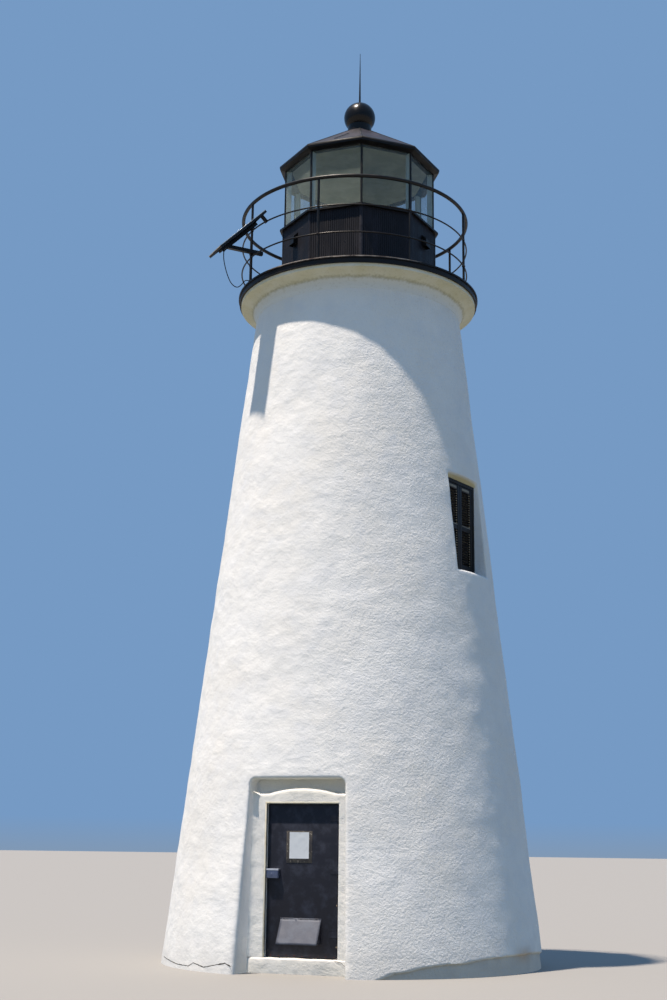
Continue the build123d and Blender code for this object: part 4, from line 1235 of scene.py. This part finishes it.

# %% [markdown]
# The window is shut by a pair of louvred shutters. Stiles and rails are planed timber
# with eased edges. The louvres are one slat in a row of fourteen, for each of the four
# fields: Geometry Nodes repeat it at a 31 mm pitch. Pale specks beside each row are
# painted highlights, where light falls on the slat ends, and two rails have rubbed edges.

# %% Shutters
LEAF_WIDTH = 0.3167
LEAF_HEIGHT = 1.078
LEAF_THICKNESS = 0.036
LEAF_GAP = 0.002
STILE = 0.052
RAIL = 0.070
SLAT_PITCH = 0.031
SLATS = 14
SLAT_TILT = 38
SLAT_HALF_DEPTH = 0.0175
SLAT_HALF_THICKNESS = 0.0035
SHUTTER_FACE = WINDOW_FACE - 0.004
field_width = LEAF_WIDTH - 2 * STILE
field_height = (LEAF_HEIGHT - 3 * RAIL) / 2
window_middle = (WINDOW_FOOT + WINDOW_HEAD) / 2
low, high = window_middle - LEAF_HEIGHT / 2, window_middle + LEAF_HEIGHT / 2
to_window = Matrix.Rotation(radians(WINDOW_BEARING), 4, "Z")
stiles, rails, rubbed, louvres = (bmesh.new() for _ in range(4))
end_spots = []
for turn in (-1, 1):
    centre = turn * (LEAF_WIDTH / 2 + LEAF_GAP)
    left, right = centre - field_width / 2, centre + field_width / 2
    for edge in (-1, 1):
        x0 = centre + edge * (LEAF_WIDTH / 2 - STILE / 2) - STILE / 2
        add_block(stiles, (x0, -SHUTTER_FACE, low), (x0 + STILE, -SHUTTER_FACE + LEAF_THICKNESS, high), 0.003)
    for level in (low, window_middle - RAIL / 2, high - RAIL):
        add_block(rails, (left, -SHUTTER_FACE + 0.002, level), (right, -SHUTTER_FACE + 0.034, level + RAIL), 0.004)
    rubbed_face, top = -SHUTTER_FACE + 0.001, high - 0.022
    add_block(rubbed, (left + 0.01, rubbed_face, top - 0.03), (right - 0.02, -SHUTTER_FACE + 0.006, top), 0.001)
    top = window_middle + RAIL / 2
    add_block(rubbed, (left, rubbed_face, top - 0.012), (right, -SHUTTER_FACE + 0.01, top + 0.001), 0.002)
    for part in (-1, 1):
        level = window_middle + part * (field_height + RAIL) / 2
        slat = bmesh.new()
        slat_corner = Vector((field_width / 2, SLAT_HALF_DEPTH, SLAT_HALF_THICKNESS))
        add_block(slat, -slat_corner, slat_corner, 0.0025)
        slat.transform(Matrix.Rotation(radians(SLAT_TILT), 4, "X"))
        row = {"Row count": SLATS, "Row step": (0, 0, SLAT_PITCH), "Material": SHUTTER_BLACK}
        made = grown(slat, RING_TREE, row)
        made.transform(Matrix.Translation((centre, -SHUTTER_FACE + LEAF_THICKNESS / 2, level)))
        louvres.from_mesh(made)
        for k in range(SLATS):
            end_spots.append((right - 0.016, -SHUTTER_FACE + 0.006, level + SLAT_PITCH * (k - (SLATS - 1) / 2)))
keep_piece("shutter_stiles", stiles, SHUTTER_BLACK, "shutter_paint", ("window_shutters",), move=to_window)
keep_piece("shutter_rails", rails, SHUTTER_BLACK, "shutter_paint", move=to_window)
keep_piece("rubbed_rail_edges", rubbed, SHUTTER_WORN, "shutter_paint", move=to_window)
keep_piece("louvres", louvres, SHUTTER_BLACK, "shutter_paint", move=to_window)
# Pale heads on the slat ends: painted highlights where light falls on them.
keep_heads("slat_end_highlights_and_chips", end_spots, 0.012, (1.2, 0.4, 0.5), SLAT_HIGHLIGHT_AND_CHIP_PAINT, "shutter_paint", move=to_window)

# %% [markdown]
# The lantern's lower wall is faced with narrow beaded boards, 24 to a side and about
# 30 mm wide. One board is a strip with a groove at each edge and a bead. The ring tree
# lays 24 of them in a row, unevenly by half a millimetre, and turns the row nine times. A
# plain nine-sided wall stands behind them, and a strip covers each corner.

# %% Lantern boards
LANTERN_RADIUS = 1.058
SIDES = 9
SIDE_ANGLE = 360 / SIDES
FLAT_SHARE = cos(radians(SIDE_ANGLE / 2))
WALL_FOOT = DECK_TOP + 0.001
WALL_HEAD = DECK_TOP + 0.950
BOARDS_PER_SIDE = 24
NAILS_PER_SIDE = 9
NAIL_RISES = (0.16, 0.47, 0.80)
CORNER_REACH = 0.020
CORNER_PROFILE = ((-0.94, 0.34), (-0.9, 0.1), (-0.12, -0.08), (0.12, -0.08), (0.9, 0.1), (0.94, 0.34))
side_length = 2 * LANTERN_RADIUS * sin(radians(SIDE_ANGLE / 2))
board_width = (side_length - 0.02) / BOARDS_PER_SIDE
face_out = LANTERN_RADIUS * FLAT_SHARE
to_corner = Matrix.Rotation(radians(SIDE_ANGLE / 2), 4, "Z")


def nine_ring(radius, level):
    return [on_bearing(SIDE_ANGLE * (k + 0.5), radius, level) for k in range(SIDES)]


core = bmesh.new()
core_out, core_in = LANTERN_RADIUS - 0.007, LANTERN_RADIUS - 0.06 / FLAT_SHARE
core_corners = ((core_out, DECK_TOP), (core_out, WALL_HEAD), (core_in, WALL_HEAD), (core_in, DECK_TOP))
add_rings(core, [nine_ring(*corner) for corner in core_corners + core_corners[:1]], closed=True)
bmesh.ops.remove_doubles(core, verts=core.verts, dist=0.0002)
turn_faces(core)
keep_piece("lantern_wall_core", core, BOARD_BLACK, "lantern_boards", ("lantern_wall",))

half = board_width / 2
board_profile = (
    (-half, -0.004), (-half + 0.003, 0.0), (half - 0.009, 0.0), (half - 0.0075, -0.003), (half - 0.005, -0.0005),
    (half - 0.003, -0.0005), (half, -0.004),
)  # fmt: skip
board = bmesh.new()
wall_levels = (WALL_FOOT, WALL_HEAD)
add_rings(board, [[Vector((side, -face_out - out, level)) for side, out in board_profile] for level in wall_levels])
turn_faces(board, lambda middle: Vector((0, -1, 0)))
board_row = {
    "Row count": BOARDS_PER_SIDE,
    "Row step": (board_width, 0, 0),
    "Ring count": SIDES,
    "Unevenness": 0.0007,
}
keep_copies("beaded_boards", board, RING_TREE, board_row, BOARD_BLACK, "lantern_boards", sharp=20)

corner = bmesh.new()
middle = on_bearing(0, LANTERN_RADIUS + 0.001)
corner_line = [middle + Vector((CORNER_REACH * x, CORNER_REACH * y, 0)) for x, y in CORNER_PROFILE]
rings = [[spot + Vector((0, 0, level)) for spot in corner_line] for level in wall_levels]
add_rings(corner, rings, closed=True)
turn_faces(corner)
corner.transform(to_corner)
keep_copies("corner_strips", corner, RING_TREE, {"Ring count": SIDES}, STRIP_GREY, "lantern_boards")

nail_spots = []
for k in range(SIDES):
    for j in range(NAILS_PER_SIDE):
        side = (noise.noise(Vector((k * 3.1, j * 1.7, 0.4))) * 0.62) * side_length
        level = DECK_TOP + NAIL_RISES[j % 3] + 0.012 * noise.noise(Vector((j, k, 5.5)))
        nail_spots.append(Matrix.Rotation(radians(SIDE_ANGLE * k), 4, "Z") @ Vector((side, -face_out, level)))
keep_heads("board_nails", nail_spots, 0.0045, (1, 1, 1), STRIP_GREY, "lantern_boards", seed=5)

# %% [markdown]
# At each of the lantern's corners, a black glazing bar shows outside and a white post
# stands behind it, inside the glass. Both are short profiles with broken edges, made
# once at one corner and turned round nine times.

# %% Glazing bars and inner posts
GLAZING_RADIUS = 1.042
SILL_TOP = 9.557
GLASS_HEAD = 10.408
EASED = 0.003
for name, near, far, half, tip, finish, nodes in (
    ("glazing_bars", 0.0, 0.020, 0.015, 0.0052, DECK_BLACK, ("glass_posts",)),
    # Grey-cyan on the white posts: painted shade.
    ("inner_posts", 0.0205, 0.092, 0.0135, 0.0, INSIDE_WHITE, ()),
):
    y0, y1 = -GLAZING_RADIUS + near, -GLAZING_RADIUS + far
    profile = [(-half, y0 + tip), (0, y0), (half, y0 + tip)]
    profile += [(half, y1 - EASED), (half - EASED, y1), (-half + EASED, y1), (-half, y1 - EASED)]
    bar = bmesh.new()
    rings = [[Vector((x, y, level)) for x, y in profile] for level in (SILL_TOP - 0.001, GLASS_HEAD)]
    for row in add_rings(bar, rings, closed=True):
        bar.faces.new(row)
    turn_faces(bar)
    bar.transform(to_corner)
    keep_copies(name, bar, RING_TREE, {"Ring count": SIDES}, finish, "lantern_posts", nodes=nodes)

# %% [markdown]
# The roof is nine sheet-metal gores. Their skin is a fine grid with millimetre wrinkles,
# which catch the light as thin old sheet does, and one open crease runs up the front
# left gore. A black roll covers each hip, and a folded drip edge runs along the eaves.

# %% Roof skin
EAVES_RADIUS = 1.115
EAVES_LEVEL = 10.476
ROOF_TOP = 11.098
ROOF_TOP_RADIUS = 0.180
GORE_STEPS = 14
SLOPE_STEPS = 18
UNDERSIDE = (
    (ROOF_TOP_RADIUS - 0.03, ROOF_TOP - 0.035), (EAVES_RADIUS - 0.09, EAVES_LEVEL + 0.02),
    (EAVES_RADIUS - 0.055, EAVES_LEVEL),
)  # fmt: skip


def on_slope(share):
    return EAVES_RADIUS + (ROOF_TOP_RADIUS - EAVES_RADIUS) * share, EAVES_LEVEL + (ROOF_TOP - EAVES_LEVEL) * share


def gored_ring(radius, level):
    corners = nine_ring(radius, level)
    return [
        corners[k].lerp(corners[(k + 1) % SIDES], step / GORE_STEPS) for k in range(SIDES) for step in range(GORE_STEPS)
    ]


roof = bmesh.new()
rings = []
for j in range(SLOPE_STEPS + 1):
    ring = gored_ring(*on_slope(j / SLOPE_STEPS))
    for index, spot in enumerate(ring):
        step = index % GORE_STEPS
        calm = min(1.0, j / 2, step / 2, (GORE_STEPS - step) / 2)
        wrinkle = 0.006 * noise.noise(spot * 9) + 0.004 * noise.noise(spot * 22 + Vector((3, 1, 7)))
        spot.z += calm * wrinkle - 0.001
    rings.append(ring)
rings += [gored_ring(*place) for place in UNDERSIDE] + rings[:1]
add_rings(roof, rings, closed=True)
bmesh.ops.remove_doubles(roof, verts=roof.verts, dist=0.0003)
turn_faces(roof)
keep_piece("wrinkled_roof", roof, ROOF_MAUVE, "roof_metal", ("lantern_roof",), sharp=30)

# %% Hip rolls, drip edge and crease
HIP_HALF_WIDTH = 0.012
HIP_RISE = 0.009
DRIP_PROFILE = (
    (-0.03, 0.0235), (0.001, 0.0035), (0.005, -0.002), (0.005, -0.024), (0.0015, -0.026), (0.0015, -0.004),
    (-0.03, 0.0160),
)  # fmt: skip
CREASE_START, CREASE_END = (0.42, 0.16), (0.60, 0.55)
CREASE_STEPS = 12
hip = bmesh.new()
hip_low = on_bearing(0, EAVES_RADIUS - 0.004, EAVES_LEVEL)
hip_high = on_bearing(0, ROOF_TOP_RADIUS, ROOF_TOP)
hip_up = (hip_high - hip_low).normalized().cross(Vector((-1, 0, 0))).normalized()
rings = []
for share in (0.0, 0.25, 0.5, 0.75, 1.0):
    ring = []
    for a in (-100, -60, -20, 20, 60, 100):
        across = Vector((HIP_HALF_WIDTH * sin(radians(a)), 0, 0))
        ring.append(hip_low.lerp(hip_high, share) + across + hip_up * (HIP_RISE * cos(radians(a)) - 0.002))
    rings.append(ring)
rows = add_rings(hip, rings, closed=True)
for row in (rows[0], rows[-1]):
    hip.faces.new(row)
turn_faces(hip)
hip.transform(to_corner)
keep_copies("hip_rolls", hip, RING_TREE, {"Ring count": SIDES}, DECK_BLACK, "roof_metal")

drip = bmesh.new()
drip_rings = [nine_ring(EAVES_RADIUS + out, EAVES_LEVEL + up) for out, up in DRIP_PROFILE]
add_rings(drip, drip_rings + drip_rings[:1], closed=True)
bmesh.ops.remove_doubles(drip, verts=drip.verts, dist=0.0002)
turn_faces(drip)
keep_piece("drip_edge", drip, DECK_BLACK, "roof_metal")


def gore_spot(side_share, slope_share):
    radius, level = on_slope(slope_share)
    spot = on_bearing(-SIDE_ANGLE / 2, radius).lerp(on_bearing(SIDE_ANGLE / 2, radius), side_share)
    return Vector((spot.x, spot.y, level + 0.004))


crease = bmesh.new()
upper, lower = [], []
for k in range(CREASE_STEPS + 1):
    share = k / CREASE_STEPS
    across = CREASE_START[0] + (CREASE_END[0] - CREASE_START[0]) * share + 0.012 * sin(k * 1.9)
    slope = CREASE_START[1] + (CREASE_END[1] - CREASE_START[1]) * share
    wide = 0.018 * sin(pi * min(1.0, share + 0.12)) + 0.002
    upper.append(gore_spot(across, slope + wide))
    lower.append(gore_spot(across, slope - wide))
ridge = [(a + b) / 2 + Vector((0, 0, 0.008)) for a, b in zip(upper, lower)]
add_rings(crease, (upper, ridge, lower))
turn_faces(crease, lambda middle: Vector((0, 0, 1)))
keep_piece("roof_crease", crease, DECK_BLACK, "roof_metal")

# %% [markdown]
# Where the thin rails pass through the posts, the joint is a small ball-shaped
# enlargement of the forging. Sixteen knobs sit on the crossings, and each post's foot is
# held to the deck with two screws.

# %% Rail knobs and foot screws
POST_BEARINGS = [0.8 + 45 * k for k in range(8)]
LOWER_RAIL_RISES = (0.356, 0.732)
FOOT_THICKNESS = 0.012
crossings = [
    on_bearing(b, RAIL_RADIUS, DECK_TOP + rise) + RAIL_SHIFT for b in POST_BEARINGS for rise in LOWER_RAIL_RISES
]
keep_heads("rail_knobs", crossings, 0.0225, (1, 1, 0.8), RAIL_WORN, "rail_iron")
foot_screws = [
    on_bearing(b, RAIL_RADIUS, DECK_TOP + FOOT_THICKNESS) + RAIL_SHIFT + on_bearing(b + 90, 0.024 * turn)
    for b in POST_BEARINGS
    for turn in (-1, 1)
]
keep_heads("foot_screws", foot_screws, 0.006, (1, 1, 0.5), IRON_BLACK, "rail_iron")

# %% [markdown]
# The front of the deck's upper edge carries a paler strip: boots have worn the paint
# there, and the strip is also a painted highlight along that edge. It is a thin strip that
# lies on the edge, widest in the middle of its run and gone at the ends.

# %% Worn and highlit deck edge
DECK_RADIUS = 1.621
EDGE_STRIP_HEIGHT = 0.014
PROUD = 0.0008
EDGE_STRIP_STEPS = 152
edge_form = bmesh.new()
edge_rows = ([], [], [])
for k in range(EDGE_STRIP_STEPS + 1):
    bearing = k / 2 - 28
    spot, outward = on_bearing(bearing, DECK_RADIUS - PROUD, DECK_TOP - PROUD), on_bearing(bearing, 1.0)
    fade = min(1.0, k / 8, (EDGE_STRIP_STEPS - k) / 8)
    wide = EDGE_STRIP_HEIGHT * fade * (0.55 + 0.9 * abs(noise.noise(spot * 9))) + 0.0004
    edge_rows[0].append(spot + outward * PROUD - Vector((0, 0, wide)))
    edge_rows[1].append(spot + outward * PROUD + Vector((0, 0, 0.0006)))
    edge_rows[2].append(spot - outward * wide + Vector((0, 0, 0.0006)))
add_rings(edge_form, edge_rows)
turn_faces(edge_form, lambda middle: Vector((middle.x, middle.y, 3.0)))
# Paler strip: wear, and a painted highlight along the front edge.
keep_piece("deck_edge_wear_and_highlight", edge_form, EDGE_WEAR_AND_HIGHLIGHT, "black_paint")

# %% [markdown]
# The solar panel is a laminate held in an aluminium frame. Four channel-shaped sides
# stand 36 mm deep with a lip in front and a flange behind. Only the lip keeps the pale
# metal, so the frame's near side is a bright thin line when it is seen from below; the
# rest of the frame is painted dark, as painted shade on the sides that face away from the
# light. The laminate has its own UV map, in metres, for the grid of cells.

# %% Solar panel
PANEL_WIDTH = 0.400
PANEL_LENGTH = 0.876
PANEL_DEPTH = 0.036
PANEL_TILT = 45.8
PANEL_REACH = 0.612
PANEL_LOW_RISE = 0.236
POST_RADIUS = 0.016
PANEL_EDGE_GAP = 0.008
LIP_DEPTH = 0.008
LIP_WIDTH = 0.011
to_panel = (
    Matrix.Translation(RAIL_SHIFT)
    @ turn_to_panel
    @ Matrix.Translation((0, -RAIL_RADIUS - PANEL_REACH, DECK_TOP + PANEL_LOW_RISE))
    @ Matrix.Rotation(radians(PANEL_TILT), 4, "X")
)
x0 = POST_RADIUS + PANEL_EDGE_GAP
x1 = x0 + PANEL_WIDTH
panel_frame, panel_lip = bmesh.new(), bmesh.new()
for form, wide, back, front in (
    (panel_frame, 0.003, -PANEL_DEPTH, -LIP_DEPTH),
    (panel_lip, LIP_WIDTH, -LIP_DEPTH, 0),
    (panel_frame, 0.022, -PANEL_DEPTH, -PANEL_DEPTH + 0.002),
):
    add_block(form, (x0, 0, back), (x0 + wide, PANEL_LENGTH, front), 0.0006, 1)
    add_block(form, (x1 - wide, 0, back), (x1, PANEL_LENGTH, front), 0.0006, 1)
    add_block(form, (x0, 0, back), (x1, wide, front), 0.0006, 1)
    add_block(form, (x0, PANEL_LENGTH - wide, back), (x1, PANEL_LENGTH, front), 0.0006, 1)
# The frame's dark paint is painted shade; only the lip shows the pale metal.
keep_piece("panel_frame", panel_frame, PANEL_FRAME_PAINTED_SHADE, "solar_face", ("solar_panel",), move=to_panel)
keep_piece("panel_lip", panel_lip, PANEL_LIP, "solar_face", move=to_panel)
laminate = bmesh.new()
laminate_low = (x0 + LIP_WIDTH, LIP_WIDTH, -0.0055)
add_block(laminate, laminate_low, (x1 - LIP_WIDTH, PANEL_LENGTH - LIP_WIDTH, -0.0015), 0.0005, 1)
layout = laminate.loops.layers.uv.new("laminate")
for face in laminate.faces:
    for loop in face.loops:
        loop[layout].uv = (loop.vert.co.x - x0 - 0.005, loop.vert.co.y - 0.009)
keep_piece("cell_laminate", laminate, SOLAR_CELLS, "solar_face", move=to_panel)
back_sheet = bmesh.new()
rings = [
    [Vector((x0 + 0.004 + 0.049 * k, 0.004 + 0.0868 * j, -0.0062 - 0.0006 * ((k + j) % 2))) for k in range(9)]
    for j in range(11)
]
add_rings(back_sheet, rings)
turn_faces(back_sheet, lambda middle: Vector((0, 0, -1)))
keep_piece("panel_back_sheet", back_sheet, PANEL_BACK, "solar_face", move=to_panel)

# %% [markdown]
# The stage is a plain pale floor, and the light is simple: one warm key from high on the
# left, which lets the stucco's lumps show where it grazes the wall, and an even surround,
# blue above and earthy below, that fills the shaded side as open sky and ground do. The
# floor itself is kept out of the bounced light, because its part is in the surround. The
# doorway has the same key to itself, without the coat's shadow or the hood's: the real
# surround stands nearer to the wall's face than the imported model's, so sunlight reaches
# all of it.

# %% Floor and light
KEY_BEARING = -41.5
KEY_HEIGHT = 72.5
KEY_STRENGTH = 6.0
KEY_SPREAD = 1.4
KEY_COLOUR = (1.0, 0.87, 0.74)
DOORWAY_PIECES = (
    "arched_surround", "worn_sill", "cream_strip", "sheet_faced_door", "door_screws", "lock_case", "lock_lid",
    "notice_backing", "blank_notice", "notice_screws", "folded_hood", "hood_cheeks", "hood_screws", "paint_chips",
    "rust_specks", "hinge_straps", "hinge_pins",
)  # fmt: skip
floor_mesh = bpy.data.meshes.new("studio_floor")
floor_form = bmesh.new()
bmesh.ops.create_circle(floor_form, cap_ends=True, segments=96, radius=400.0)
floor_form.to_mesh(floor_mesh)
floor_form.free()
studio_floor = bpy.data.objects.new("studio_floor", floor_mesh)
bpy.context.scene.collection.objects.link(studio_floor)
floor_material, _, floor_shader = new_finish("studio_floor_paint", Roughness=0.9)
floor_shader.inputs["Base Color"].default_value = paint("#94928E")
floor_mesh.materials.append(floor_material)
studio_floor.visible_diffuse = False

surround_light = bpy.data.worlds.new("studio_surround")
surround_light.use_nodes = True
around = surround_light.node_tree
view_side = add_node(around, "ShaderNodeTexCoord").outputs["Generated"]
view_height = add_node(around, "ShaderNodeSeparateXYZ", None, {0: view_side}).outputs[2]
half_tone = lay_over(around, paint("#969484"), ((view_height, -0.06, 0.02, 1.0, "#769AC4"),))
join(around, around.nodes["Background"], {"Color": half_tone})
bpy.context.scene.world = surround_light

toward_key = on_bearing(KEY_BEARING, cos(radians(KEY_HEIGHT)), sin(radians(KEY_HEIGHT)))


def add_key(name):
    key_data = bpy.data.lights.new(name, "SUN")
    key_data.energy = KEY_STRENGTH
    key_data.angle = radians(KEY_SPREAD)
    key_data.color = KEY_COLOUR
    key = bpy.data.objects.new(name, key_data)
    bpy.context.scene.collection.objects.link(key)
    key.rotation_euler = toward_key.to_track_quat("Z", "Y").to_euler()
    return key


def link_group(name, piece_names, state):
    group = bpy.data.collections.new(name)
    for piece_name in piece_names:
        group.objects.link(bpy.data.objects[piece_name])
    for member in group.collection_objects:
        member.light_linking.link_state = state
    return group


coat_and_hood = ("stucco_coat", "folded_hood", "hood_cheeks")
key_light, doorway_key = add_key("key_light"), add_key("doorway_key")
key_light.light_linking.receiver_collection = link_group("all_but_doorway", DOORWAY_PIECES, "EXCLUDE")
doorway_key.light_linking.receiver_collection = link_group("doorway", DOORWAY_PIECES, "INCLUDE")
doorway_key.light_linking.blocker_collection = link_group("casts_no_shade_there", coat_and_hood, "EXCLUDE")
bpy.context.scene.view_settings.view_transform = "Standard"
print("key light towards", [round(v, 2) for v in toward_key])
